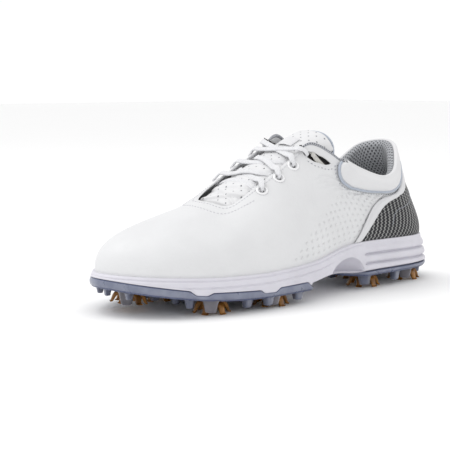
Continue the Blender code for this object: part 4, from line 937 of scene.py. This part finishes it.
def beside_piping(a, v):
    """The stitched row's place: below the piping, and in front of it where it climbs."""
    return (a, v - 0.040) if a > 0.73 else (a - 0.011, v - 0.01 - 0.02 * (v < 0.75))


below = rounded([beside_piping(a, v) for a, v in PIPING], 140)
for side, word in SIDES:
    p, n, _ = skin_axes(to_side(below[:, 0], side), below[:, 1])
    stitches(f"collar_stitch_{word}", p + n * 0.15, np.gradient(p, axis=0), n, GREY_THREAD, length=1.2,
             thick=0.26, gap=1.5)

# a soft dark edge along the topline, from above the lace slot to the collar lobe
for side, word in SIDES:
    st = np.linspace(0.622, 0.768, 60)
    edge_lift = 0.6 + 1.8 * smoothstep(0.735, 0.765, st)
    p, n, _ = skin_axes(to_side(st, side), 1.0)
    wide = 1.35 * np.sqrt(np.sin(np.linspace(0.25, np.pi - 0.12, 60)))
    sweep(f"collar_edge_{word}", p - n * 0.9 + np.outer(edge_lift, (0, 0, 1)), MESH_DARK,
          np.column_stack([wide, wide]), up=n)

TOP_A = np.interp(np.linspace(0, 1, RIM), [0, 0.12, 0.5, 0.88, 1], [0.757, 0.80, 1.0, 1.20, 1.243])
OVER_RIM = [(2.7, 1.3), (2.3, 2.4), (1.5, 3.2), (0.5, 3.6), (-0.4, 3.45), (-0.9, 2.9), (-0.9, 1.9),
            (-0.6, 1.1), (0.2, 0.8), (1.0, 0.4)]  # off and lift of the lobe where it folds over the top edge


def lobe_piece():
    """The padded lobe: out from the piping, over the top edge and back against the leather."""
    rows = []
    scale = np.array((LENGTH_A, LOW_V))
    for (pa, pv), ta in zip(pipe_av, TOP_A):
        d = np.array(((ta - pa), (1 - pv))) * scale
        size = max(np.linalg.norm(d), 1e-6)
        foot = np.array((pa, pv)) + d / size * min(1.0, size * 0.3) / scale
        fat = min(1.0, size / 12) * (1 - 0.6 * math.exp(-((ta - 1) / 0.09) ** 2))
        face = []
        for f in np.linspace(0, 0.93, 12):
            q = foot + (np.array((ta, 1.0)) - foot) * f
            swell = math.sin(math.pi * min(1, 0.08 + f * 0.86)) ** 0.75
            face.append((*q, 1.25 + 3.3 * fat * swell + 1.0 * f, 0.0))
        row = face + [(ta, 1.0, off, lift) for off, lift in OVER_RIM]
        row += [(a, v, 0.7, 0.0) for a, v, _, _ in face[::-3]]
        rows.append(skin(*np.array(row).T))
    rows = np.array(rows)
    m, k = rows.shape[:2]
    face = quads(m, k, wrap_cols=True).tolist() + [list(range(k))[::-1], [(m - 1) * k + c for c in range(k)]]
    return put("collar_pad", rows.reshape(-1, 3), face, LOBE_WHITE, replaces="collar_lobe")


lobe_piece()

# ---------------------------------------------------------------- tongue
TP = np.array(TONGUE, float)
TP_S = running(TP[:, :2])
TONGUE_LENGTH = TP_S[-1]
TP_S /= TONGUE_LENGTH
TP_FINE = np.linspace(0, 1, 200)
TP_SMOOTH = eased(np.column_stack([np.interp(TP_FINE, TP_S, TP[:, c]) for c in range(3)]), 40)


def crown(x, y):
    """Fall of the tongue's face from its middle to y, steeper towards its free end."""
    return (0.00504 * y ** 2 + 2.61e-5 * y ** 4) * (1 + 0.45 * np.clip((x - 12) / 20, 0, 1))


def tongue_raw(p, y):
    """The tongue's face at p along it and y mm across, before any padding."""
    x, z = (np.interp(p, TP_FINE, TP_SMOOTH[:, c]) for c in (0, 1))
    drop = crown(x, y)
    return np.column_stack([x + 0.12 * drop, y, z + TONGUE_TILT * y - drop])


def tongue_at(p, q, off=0.0):
    """Point of the tongue's face: p along it from the stitched end, q across from -1 to 1."""
    p, q = matched(p, q)
    w = np.interp(p, TP_FINE, TP_SMOOTH[:, 2])
    e = 0.01
    a, b = np.clip(p - e, 0, 1), np.clip(p + e, 0, 1)
    along = tongue_raw(b, q * w) - tongue_raw(a, q * w)
    n = unit(np.cross(along, tongue_raw(p, q * w + 0.4) - tongue_raw(p, q * w - 0.4)))
    return tongue_raw(p, q * w) + n * np.asarray(off, float).reshape(-1, 1)


def tongue_piece(name, rows, cols, outer, inner, mat, replaces, lo=0.0):
    """A skin of the tongue between two offsets, each a number or a function of p and q."""
    pp, qq = np.meshgrid(np.linspace(lo, 0.985, rows), np.linspace(-0.97, 0.97, cols), indexing="ij")
    w = np.interp(pp.ravel(), TP_FINE, TP_SMOOTH[:, 2])
    uv = np.stack([qq.ravel() * w, pp.ravel() * TONGUE_LENGTH], -1)
    grids = []
    for off in (outer, inner):
        o = off(pp.ravel(), qq.ravel()) if callable(off) else off
        grids.append(tongue_at(pp.ravel(), qq.ravel(), o).reshape(*pp.shape, 3))
    return sheet(name, *grids, mat, uv=uv, replaces=replaces)


FOLDS = ((21, 1.3, 1, 5), (29, 1.5, -9, 4), (35, 1.2, 8, -3), (43, 1.0, -8, 2), (52, 0.6, 9, 0),
         (66, 0.4, -6, 0))  # mm from the foot of the tongue, depth, slant and bow across it


def tongue_relief(p, q):
    """Padding between the edges and soft folds across the foot of the tongue."""
    s = p * TONGUE_LENGTH
    folds = 0.0
    for at, size, slant, bow in FOLDS:
        d = s - at - slant * q - bow * q * q - 1.2 * np.sin(2.4 * q + at)
        folds = folds - size * np.exp(-(d / 1.2) ** 2) + 0.5 * size * np.exp(-((d - 3.4) / 2.4) ** 2)
    edge = smoothstep(1.0, 0.80, abs(q)) * smoothstep(1.0, 0.96, p)
    pad = 0.9 * smoothstep(0.15, 0.4, p) * (1 - q ** 4)
    return (folds * smoothstep(1.0, 0.7, abs(q)) + pad) * edge - 0.5 * (1 - edge)


tongue_piece("tongue_leather", 170, 64, tongue_relief, -1.0, TONGUE_WHITE, "tongue_face")
tongue_piece("tongue_mesh", 60, 30, -5.3, -4.6, MESH, "tongue_lining", lo=0.06)
rise, width = np.linspace(0.87, 0.97, 40), np.linspace(-1.0, 1.0, 24)
bind = np.column_stack([np.concatenate([rise, np.full(24, 0.998), rise[::-1]]),
                        np.concatenate([np.full(40, -1.05), width, np.full(40, 1.05)])])
bind = eased(bind, 3)
sweep("tongue_edge_binding", tongue_at(bind[:, 0], bind[:, 1], -2.4), PIPING_CLOTH, (0.9, 2.2), power=2.6,
      section=14, replaces="tongue_binding")

# the keeper's strap, sewn down by two rows at each end
KEEPER_AT = 0.80
keeper = tongue_at(KEEPER_AT, np.linspace(-0.32, 0.32, 24),
                   1.3 + 0.9 * np.sin(np.linspace(0, np.pi, 24)) ** 0.6)
tilt = tongue_at(KEEPER_AT, 0, 1)[0] - tongue_at(KEEPER_AT, 0, 0)[0]
sweep("lace_keeper_strap", keeper, KEEPER_WHITE, (5.0, 0.45), power=5, section=20, up=tilt,
      replaces="lace_keeper")
for q in (-0.29, -0.25, 0.25, 0.29):
    line = tongue_at(np.linspace(0.765, 0.835, 12), q, 1.6)
    stitches(f"keeper_stitch_{'m' if q < 0 else 'l'}_{int(abs(q) * 100)}", line, np.gradient(line, axis=0),
             np.tile(tilt, (12, 1)), THREAD, length=1.5, thick=0.24, gap=0.6)

# ---------------------------------------------------------------- eyelets, slots and laces
RIM_PROFILE = [(4.35, 0.10), (4.3, 0.32), (4.05, 0.62), (3.7, 0.85), (3.3, 0.95), (2.9, 0.85),
               (2.55, 0.55), (2.4, 0.1), (2.35, -2.4), (2.65, -2.4), (2.7, 0.05)]
for side, word in SIDES:
    for i, (a, v) in enumerate(EYELETS, 1):
        c = skin(to_side(a, side), v)[0]
        axis = skin(to_side(a, side), v, 1)[0] - c
        turned(f"eyelet_rim_{word}_{i}", RIM_PROFILE, ENAMEL, c, 40, axis, closed=True,
               replaces=f"eyelet_{word}_{i}")


def on(av, off, side):
    """A point off the leather at (a, v) on one side of the shoe."""
    return skin(to_side(av[0], side), av[1], off)[0]


def above(p, gap):
    """The point, lifted so that it clears the tongue's face by gap."""
    z = np.interp(p[0] - 1.0, TP[:, 0], TP[:, 1]) + TONGUE_TILT * p[1] - crown(p[0], p[1])
    return np.array((p[0], p[1], max(p[2], z + gap + 0.02 * abs(p[1]))))


# webbing that crosses each slot: places on the leather with their distance off it
WEBBING = (((0.668, 0.765), -2.2), ((0.662, 0.810), -2.0), ((0.656, 0.846), -1.6), ((0.650, 0.872), -0.7),
           ((0.645, 0.890), 0.8), ((0.640, 0.905), 1.5))
STRAP = (((0.632, 0.985), -1.2), ((0.646, 0.93), -1.2), ((0.655, 0.88), -1.3), ((0.662, 0.83), -1.5),
         ((0.672, 0.79), -2.0))
for side, word in SIDES:
    n = on((0.64, 0.90), 1, side) - on((0.64, 0.90), 0, side)
    sweep(f"slot_webbing_{word}", smooth([on(av, off, side) for av, off in WEBBING], 0.8), WEB_CLOTH,
          (1.7, 0.45), power=4, section=14, up=n, replaces=f"ghillie_loop_{word}")
    sweep(f"slot_strap_{word}", smooth([on(av, off, side) for av, off in STRAP], 0.8), WEB_CLOTH,
          (1.3, 0.4), power=4, section=14, up=n)


def lace_side(side):
    """One end of the lace, from the first eyelet's top to its tip inside the shoe."""
    pts, half = [], []

    def go(p, w, t, wide=(0.87, 0, 0.5)):
        pts.append(p)
        half.append((w, t, *wide))

    def under(a, s):
        """Where the lace runs between the facing's edge and the tongue."""
        return above(on((a, 1.0), -3.0, s) + (0, 2.5 * s, 0), 1.1)

    s = side
    for i, (a, v) in enumerate(EYELETS):
        go(under(a - 0.014, s), 2.2, 0.75)
        go(above(on((a - 0.008, v + 0.055), -3.6, s), 1.1), 2.1, 0.7)
        go(above(on((a - 0.003, v + 0.022), -4.6, s), 1.2), 1.8, 0.65)
        for off in (-2.9, -1.4, 0.3, 2.0):
            go(on((a, v), off, s), 1.2, 1.0)
        go(on((a + 0.003, v + 0.045), 2.5, s), 1.9, 0.75)
        p0 = on((a + 0.008, 1.0), 2.2, s)
        p1 = under(EYELETS[i + 1][0] - 0.030, -s) if i < 2 else on((0.606, 1.0), 2.8, -s)
        go(p0, 2.2, 0.75)
        for f in (0.15, 0.32, 0.5, 0.68, 0.85):
            go(above(p0 + (p1 - p0) * f, 1.2 if side == 1 else 1.2 + 2.2 * math.sin(math.pi * f) ** 0.7),
               2.25, 0.8)
        if i == 2:
            go(p1, 2.2, 0.75)
        s = -s
    for (a, v), off in (((0.6165, 0.970), 2.5), ((0.6205, 0.942), 2.2), ((0.624, 0.921), 0.8),
                        ((0.6255, 0.914), -1.6), ((0.628, 0.908), -4.4), ((0.643, 0.905), -6.0),
                        ((0.651, 0.850), -6.3), ((0.660, 0.795), -7.3)):
        go(on((a, v), off, s), 1.5, 0.6, (0.87, 0, 0.5) if a < 0.63 else (-0.4, 0, 1))
    y = np.sign(pts[-1][1])
    for x, yy, z in ((23, 24, 83), (36, 23, 79), (44, 22.5, 73), (47, 23.5, 67), (38, 26, 58), (24, 28, 52),
                     (6, 30, 47.5), (-14, 31, 44.5), (-36, 31, 42), (-58, 29, 41)):
        go(np.array((x, y * yy, z)), 2.0, 0.6, (-0.2, -y, 0.2))
    return np.array(pts), np.array(half)


def lace_piece():
    """The lace in one length: both ends joined at the first crossing."""
    lateral, medial = lace_side(1), lace_side(-1)
    middle = above((lateral[0][0] + medial[0][0]) / 2, 1.3)
    path = np.concatenate([lateral[0][::-1], [middle], medial[0]])
    half = np.concatenate([lateral[1][::-1], [(2.2, 0.8, 0.87, 0, 0.5)], medial[1]])
    both = smooth(np.column_stack([path, half]), 1.1)
    path, half, wide = both[:, :3], np.maximum(both[:, 3:5], 0.45), both[:, 5:]
    return sweep("woven_lace", path, LACE_CLOTH, half, section=16, power=3.2, width_to=wide, replaces="lace")


lace_piece()

# ---------------------------------------------------------------- sole
def a_at(x):
    """The a where the lateral side of the outline passes x."""
    a = np.linspace(0, 1, 1200)
    return float(np.interp(x, outline(a)[0][:, 0], a))


def block(name, half, rings, mat, edge=None, edge_rows=(), **how):
    """Solid between stacked outlines from the toe to the heel.

    Rings are (inset, height), each a number or a function of the outline's points.

    The spans between rings listed in edge_rows take the second material.
    """
    whole_toe, whole_heel = half[0] == 0, half[-1] == 1
    back = (2 - half)[::-1]
    back = back[1:] if whole_heel else back
    back = back[:-1] if whole_toe else back
    a = np.concatenate([half, back])
    base, _ = outline(a)
    n = len(a)
    verts = []
    for inset, z in rings:
        p, _ = outline(a, inset(base) if callable(inset) else inset)
        verts.append(np.column_stack([p, z(base) if callable(z) else np.full(n, float(z))]))
    face = quads(len(rings), n, wrap_cols=True)[:, ::-1].tolist()
    count = len(half)
    mate = [(n - i) % n if whole_toe else n - 1 - i for i in range(count)]
    if whole_heel:
        mate[-1] = count - 1
    for level, flip in ((0, True), ((len(rings) - 1) * n, False)):
        for i in range(count - 1):
            f = list(dict.fromkeys([level + i, level + i + 1, level + mate[i + 1], level + mate[i]]))
            face.append(f[::-1] if flip else f)
    ob = put(name, np.concatenate(verts), face, mat, **how)
    if edge:
        ob.data.materials.append(edge)
        for f in ob.data.polygons:
            if f.index // n in edge_rows and f.index < (len(rings) - 1) * n:
                f.material_index = 1
    return ob


def tab_amount(x):
    """1 inside a tab's range of x, 0 outside it, with sloping flanks."""
    ease = 2.6
    return sum(smoothstep(lo - ease, lo + ease, x) * smoothstep(hi + ease, hi - ease, x) for lo, hi in TABS)


RIM_TOP = [(-151, 24.9), (-140, 22.9), (-120, 19.6), (-96, 15.9), (-60, 14.6), (-43, 14.6), (-18, 15.0)]


def rim_height(x):
    """Top of the outsole's upstanding rim: high at the toe, gone at the tabs."""
    high = np.interp(x, *zip(*RIM_TOP))
    high = high - 3.2 * smoothstep(FOREFOOT_END - 5, FOREFOOT_END, x)
    return high + (12.2 + height(SPRING, x) - high) * tab_amount(x)


def behind_forefoot(x):
    """0 over the forefoot plate, 1 behind it."""
    return smoothstep(FOREFOOT_END - 1.5, FOREFOOT_END + 1.5, x)


def mid_low(x):
    """Where the midsole's side wall starts: on the rim in front, at the underside behind it."""
    rim = rim_height(x) + 0.15
    arch = height(MID_BOTTOM, x) + 1.2
    return rim + (arch - rim) * behind_forefoot(x)


STATION_ENDS = [0, a_at(-112), a_at(-92), a_at(-62), a_at(-38), a_at(2), a_at(64), 1.0]
MID_STATIONS = spaced(STATION_ENDS, [0.006, 0.0018, 0.005, 0.0018, 0.0035, 0.0024, 0.005])
FRONT_LINES = [(1.9, 0.75, 0.55), (6.4, 0.8, 0.6)]   # depth below the top line, groove depth, half width
REAR_LINES = [(3.4, 0.45, 1.2), (9.4, 2.0, 0.95), (16.2, 2.0, 0.95)]
SCOOP_X, SCOOP_DEEP = 36, 11.5


def side_profile(x, y, f):
    """Inset of the midsole's side wall at fraction f of its height."""
    top, low = height(MID_TOP, x), mid_low(x)
    z = low + (top - low) * f
    depth = top - z
    rear = smoothstep(50, 57, x)
    base = 0.5 + 0.5 * f + np.interp(x, [0, 60, 110, 151], [1.0, 1.6, 2.0, 3.4]) * f ** 1.5
    front_bulge = -0.35 * np.sin(np.pi * f) * (1 - rear)
    ribs = rear * (-0.9 * abs(np.sin(np.pi * np.clip((depth - 2.6) / 6.9, 0, 2.75))) ** 0.7 + 0.5)
    inset = base + front_bulge + ribs
    clear = (1 - rear) * smoothstep(0.4, 1.6, z - low)
    for at, deep, wide in FRONT_LINES:
        share = 1 if at < 4 else smoothstep(22, 8, x)
        inset = inset + clear * share * deep * np.exp(-((depth - at) / wide) ** 2)
    for at, deep, wide in REAR_LINES:
        inset = inset + smoothstep(54, 58, x) * deep * np.exp(-((depth - at) / wide) ** 2)
    # scoop under the outer side of the arch, longer in front of its middle than behind
    reach = np.where(x < SCOOP_X, 25.0, 18.0)
    r = np.hypot((x - SCOOP_X) / reach, (z - 9.0) / 17.5)
    inset = inset + SCOOP_DEEP * np.clip(1 - r ** 2, 0, 1) ** 0.7 * (y < 0)
    return inset, z


def midsole_piece():
    """The foam midsole: its underside, the side wall in rings, and the top that the upper sits on."""
    def wall(f, part):
        return lambda b: side_profile(b[:, 0], b[:, 1], f)[part]

    def top(inset, z):
        return (lambda b: side_profile(b[:, 0], b[:, 1], 1.0)[0] + inset,
                lambda b: height(MID_TOP, b[:, 0]) + z)

    rings = [(lambda b: np.where(b[:, 0] < FOREFOOT_END, 3.9, 2.4), lambda b: height(MID_BOTTOM, b[:, 0])),
             (lambda b: 3.4 - 2.6 * np.maximum(tab_amount(b[:, 0]), behind_forefoot(b[:, 0])),
              lambda b: mid_low(b[:, 0]) - 0.35)]
    rings += [(wall(f, 0), wall(f, 1)) for f in np.linspace(0, 1, 56)]
    rings += [top(0.45, 0.22), top(2.4, 0.15)]
    return block("foam_midsole", MID_STATIONS, rings, EVA, replaces="midsole")


crease(midsole_piece(), 50)


def forefoot_z(add):
    """Height above the forefoot plate's underside."""
    return lambda b: PLATE_BOTTOM + add + height(SPRING, b[:, 0])


def rim_ring(inset, share, drop=0.0):
    """A ring of the forefoot rim at a share of its height."""
    return inset, lambda b: (forefoot_z(0.9)(b) * (1 - share) + (rim_height(b[:, 0]) - 0.25) * share - drop)


ARCH_END, HEEL_BEGIN = a_at(FOREFOOT_END), a_at(HEEL_START)
fore_half = np.append(MID_STATIONS[MID_STATIONS < ARCH_END - 1e-6], ARCH_END)
fore_rings = [(inset, forefoot_z(add)) for inset, add in (
    (9.0, 0.5), (8.4, 0.0), (2.6, 0.0), (1.5, 0.15), (1.05, 0.7), (1.0, 1.3))]
fore_rings += [rim_ring(inset, share) for inset, share in (
    (0.45, 0.10), (0.05, 0.22), (-0.15, 0.42), (-0.15, 0.60), (0.0, 0.76), (0.25, 0.86), (0.45, 0.90),
    (0.5, 0.97), (0.85, 1.0), (1.6, 1.02))]
fore_rings.append(rim_ring(2.6, 1.02, 0.2))
# the listed spans take the darker TPU: painted shade on the plate's underside, its lower edge and the rim's
# top edge
crease(block("outsole_plate_forefoot", fore_half, fore_rings, TPU, TPU_EDGE_SHADE, (1, 2, 3, 4, 12, 13, 14),
             replaces="outsole_forefoot"), 60)


def nose(add):
    """Inset of the heel plate, which narrows to a nose under the arch."""
    return lambda base: add + (20 - add * 0.3) * np.clip((58 - base[:, 0]) / 11, 0, 1) ** 1.5


heel_half = np.append(HEEL_BEGIN, MID_STATIONS[MID_STATIONS > HEEL_BEGIN + 1e-6])
heel_rings = [(nose(i), HEEL_BOTTOM + z) for i, z in (
    (9.0, 0.5), (8.4, 0.0), (2.4, 0.0), (1.5, 0.2), (1.1, 0.8), (0.95, 1.2), (0.6, 1.5), (0.35, 2.1),
    (0.3, 2.7), (0.55, 3.2), (0.9, 3.5), (1.6, 3.6))]
# the listed spans take the darker TPU: painted shade on the plate's underside, its lower edge and its top
# edge
crease(block("outsole_plate_heel", heel_half, heel_rings, TPU, TPU_EDGE_SHADE, (1, 2, 3, 4, 5, 9, 10),
             replaces="outsole_heel"), 60)


def spring(x):
    """Rise of the sole's underside at one x."""
    return float(height(SPRING, x))


LUGS_FORE = [(-137, -12, 20), (-141, 6, 0), (-136, 22, -20), (-104, -34, 40), (-106, 38, -40),
             (-98, -12, 30), (-100, 18, -30), (-64, -45, 10), (-62, 45, -10), (-48, -48, 0),
             (-52, 46, 0), (-18, -45, 0), (-16, 40, 0), (-60, 22, 20), (-36, 6, 0), (-104, 4, 0),
             (-84, 0, 0), (-16, -16, 0), (-18, 20, 0), (-66, -18, 0)]
LUGS_HEEL = [(62.5, -31.5, -40), (66, 32, 0), (96, -31, 10), (98, 34, -10), (140, -13, 60), (141, 14, -60),
             (103, -7, 0), (66, 6, 0)]


LUG_PROFILE = ((0.0, 0.42), (0.02, 0.56), (0.08, 0.68), (0.3, 0.74), (0.6, 0.84), (0.85, 0.95), (1.0, 1.08))
LUG_HALF = (4.3, 3.3)  # half width and half depth, which the profile's second numbers scale


def lug(name, x, y, turn, tip, top, mat, size=(1.0, 1.0)):
    """A tapered lug with rounded corners and a hollowed flank."""
    c, s = math.cos(math.radians(turn)), math.sin(math.radians(turn))
    count = 24
    ct, st = squarish(2 * math.pi * np.arange(count) / count, 0.55)
    rows = []
    for f, grow in LUG_PROFILE:
        w, d = LUG_HALF[0] * size[0] * grow * ct, LUG_HALF[1] * size[1] * grow * st
        z = np.full(count, tip + (top - tip) * f)
        rows.append(np.column_stack([x + c * w - s * d, y + s * w + c * d, z]))
    face = quads(len(rows), count, wrap_cols=True).tolist() + [list(range(count))[::-1]]
    return put(name, np.concatenate(rows), face, mat)


for i, (x, y, turn) in enumerate(LUGS_FORE, 1):
    small = (0.62, 0.62) if x < -130 else (1.0, 1.0)
    lug(f"fore_lug_{i}", x, y, turn, spring(x) + (4.4 if x < -130 else 2.6), PLATE_BOTTOM + 0.4 + spring(x),
        TPU_LUG_SHADED, small)
for i, (x, y, turn) in enumerate(LUGS_HEEL, 1):
    lug(f"heel_lug_{i}", x, y, turn, 3.0, HEEL_BOTTOM + 0.4, TPU_LUG_SHADED)


# ---------------------------------------------------------------- cleats
def cleat_frame(x, y, lift, tilt):
    """A cleat's origin and its tilted axes."""
    s, c = math.sin(math.radians(tilt)), math.cos(math.radians(tilt))
    return np.array((x, y, lift)), np.array(((c, 0, -s), (0, 1, 0), (s, 0, c)))


LEG = smooth([(4.2, 6.9), (6.6, 6.9), (8.8, 6.0), (10.0, 4.2), (10.8, 2.2), (11.6, 0.75), (12.6, 0.45)], 0.6)
LEG_WIDE = np.interp(np.linspace(0, 1, len(LEG)), [0, 0.3, 0.6, 0.85, 1], [3.0, 3.1, 2.3, 2.1, 2.5])
LEG_THICK = np.interp(np.linspace(0, 1, len(LEG)), [0, 0.3, 0.6, 0.85, 1], [1.2, 1.35, 1.25, 0.95, 0.45])


LEG_ALONG = unit(np.gradient(LEG, axis=0))
HUB = [(0.0, 4.5), (2.4, 4.5), (2.7, 4.9), (2.9, 5.3), (5.6, 5.35), (6.9, 5.7), (7.7, 6.5), (8.1, 7.4),
       (8.1, 7.9), (4.1, 7.95), (4.1, 10.3), (0.0, 10.3)]
LEG_COUNT, LEG_SECTION = 6, 12
KEY_RADIUS = 5.2


def leg_rings(turn):
    """Sections of one cleat leg at its turn round the hub, kept above the plane it stands on."""
    d, w = np.array((math.cos(turn), math.sin(turn), 0)), np.array((-math.sin(turn), math.cos(turn), 0))
    cu, su = squarish(2 * math.pi * (np.arange(LEG_SECTION) + 0.5) / LEG_SECTION, 0.6)
    rings = []
    for (r, z), (tr, tz), wide, thick in zip(LEG, LEG_ALONG, LEG_WIDE, LEG_THICK):
        ring = np.outer(r - tz * thick * su, d) + np.outer(wide * cu, w)
        ring[:, 2] = np.maximum(0.02, z + tr * thick * su)
        rings.append(ring)
    return rings


def cleat(i, place):
    """One soft cleat: its hub, six splayed legs, and three dark discs painted as the shade in the holes that
    the key turns it by.
    """
    origin, axes = cleat_frame(*place)
    body = f"cleat_{i}"
    turned(f"cleat_hub_{i}", HUB, AMBER, origin, 48, axes[2], body=body, replaces=f"cleat_{i}")
    verts, face = [], []
    last = (len(LEG) - 1) * LEG_SECTION
    for k in range(LEG_COUNT):
        base = len(verts) * LEG_SECTION
        verts += [origin + ring @ axes for ring in leg_rings(2 * math.pi * (k + 0.5) / LEG_COUNT)]
        face += quads(len(LEG), LEG_SECTION, wrap_cols=True, base=base).tolist()
        face += [[base + q for q in reversed(range(LEG_SECTION))],
                 [base + last + q for q in range(LEG_SECTION)]]
    put(f"cleat_legs_{i}", np.concatenate(verts), face, AMBER, body=body)
    # the key holes are not cut: dark discs set into the hub paint their shade
    for k in range(3):
        t = 2 * math.pi * k / 3 + 0.5
        at = origin + np.array((math.cos(t), math.sin(t), 0)) * KEY_RADIUS @ axes
        turned(f"cleat_key_hole_shade_{i}_{k + 1}", [(0.95, 5.0), (0.95, 5.5)], DARK, at, 16, axes[2], body=body)


for i, place in enumerate(CLEATS, 1):
    cleat(i, place)
GUARDS = [(-132, -2.6, -42, 4.0), (-94, -43.5, -42, 0), (-43, -47.5, -30, 0), (62.5, -31.5, -42, 0),
          (111.5, -27.5, -42, 0)]
for i, (x, y, turn, lift) in enumerate(GUARDS, 1):
    top = (HEEL_BOTTOM if x > 40 else PLATE_BOTTOM + spring(x)) + 0.4
    lug(f"guard_lug_{i}", x, y, turn, 2.4 + lift, top, TPU_SMOKE, (1.25, 0.55))

# ---------------------------------------------------------------- stage, light and camera
def area(name, size, power, place, aim):
    """A square lamp at a place, aimed at a point."""
    light = bpy.data.lights.new(name, "AREA")
    light.shape, light.size, light.energy = "SQUARE", size, power
    ob = bpy.data.objects.new(name, light)
    ob.location = place
    ob.rotation_euler = (Vector(aim) - Vector(place)).to_track_quat("-Z", "Y").to_euler()
    bpy.context.scene.collection.objects.link(ob)


FLOOR_HALF, SKY_POWER = 6, 1.02  # metres, strength
floor_mesh = bpy.data.meshes.new("floor")
corners = [(x * FLOOR_HALF, y * FLOOR_HALF, 0) for x, y in ((-1, -1), (1, -1), (1, 1), (-1, 1))]
floor_mesh.from_pydata(corners, [], [(0, 1, 2, 3)])
floor_mat = moulded("pale floor", (0.93, 0.93, 0.93), (0.94, 0.94, 0.94), rough=(0.8, 0.9), grain=30,
                    depth=0.0)
floor_mesh.materials.append(floor_mat)
floor = bpy.data.objects.new("floor", floor_mesh)
bpy.context.scene.collection.objects.link(floor)

world = bpy.data.worlds.new("studio")
bpy.context.scene.world = world
world.use_nodes = True
sky = world.node_tree
sky.nodes["Background"].inputs[0].default_value = (1, 1, 1, 1)
sky.nodes["Background"].inputs[1].default_value = SKY_POWER
area("key", 0.9, 6.5, (-0.5, 0.55, 1.35), (0, 0, 0.05))
area("fill", 1.4, 1.5, (-1.5, -0.9, 0.8), (0, 0, 0.05))
bpy.context.scene.view_settings.view_transform = "Standard"

camera_data = bpy.data.cameras.new("camera")
camera_data.sensor_width = 36.0
camera_data.lens = 99.5
camera = bpy.data.objects.new("camera", camera_data)
camera.location = (-0.60, -0.66, 0.154)
look = Vector((0, 0.054, 0.044)) - camera.location
camera.rotation_euler = look.to_track_quat("-Z", "Y").to_euler()
bpy.context.scene.collection.objects.link(camera)
bpy.context.scene.camera = camera
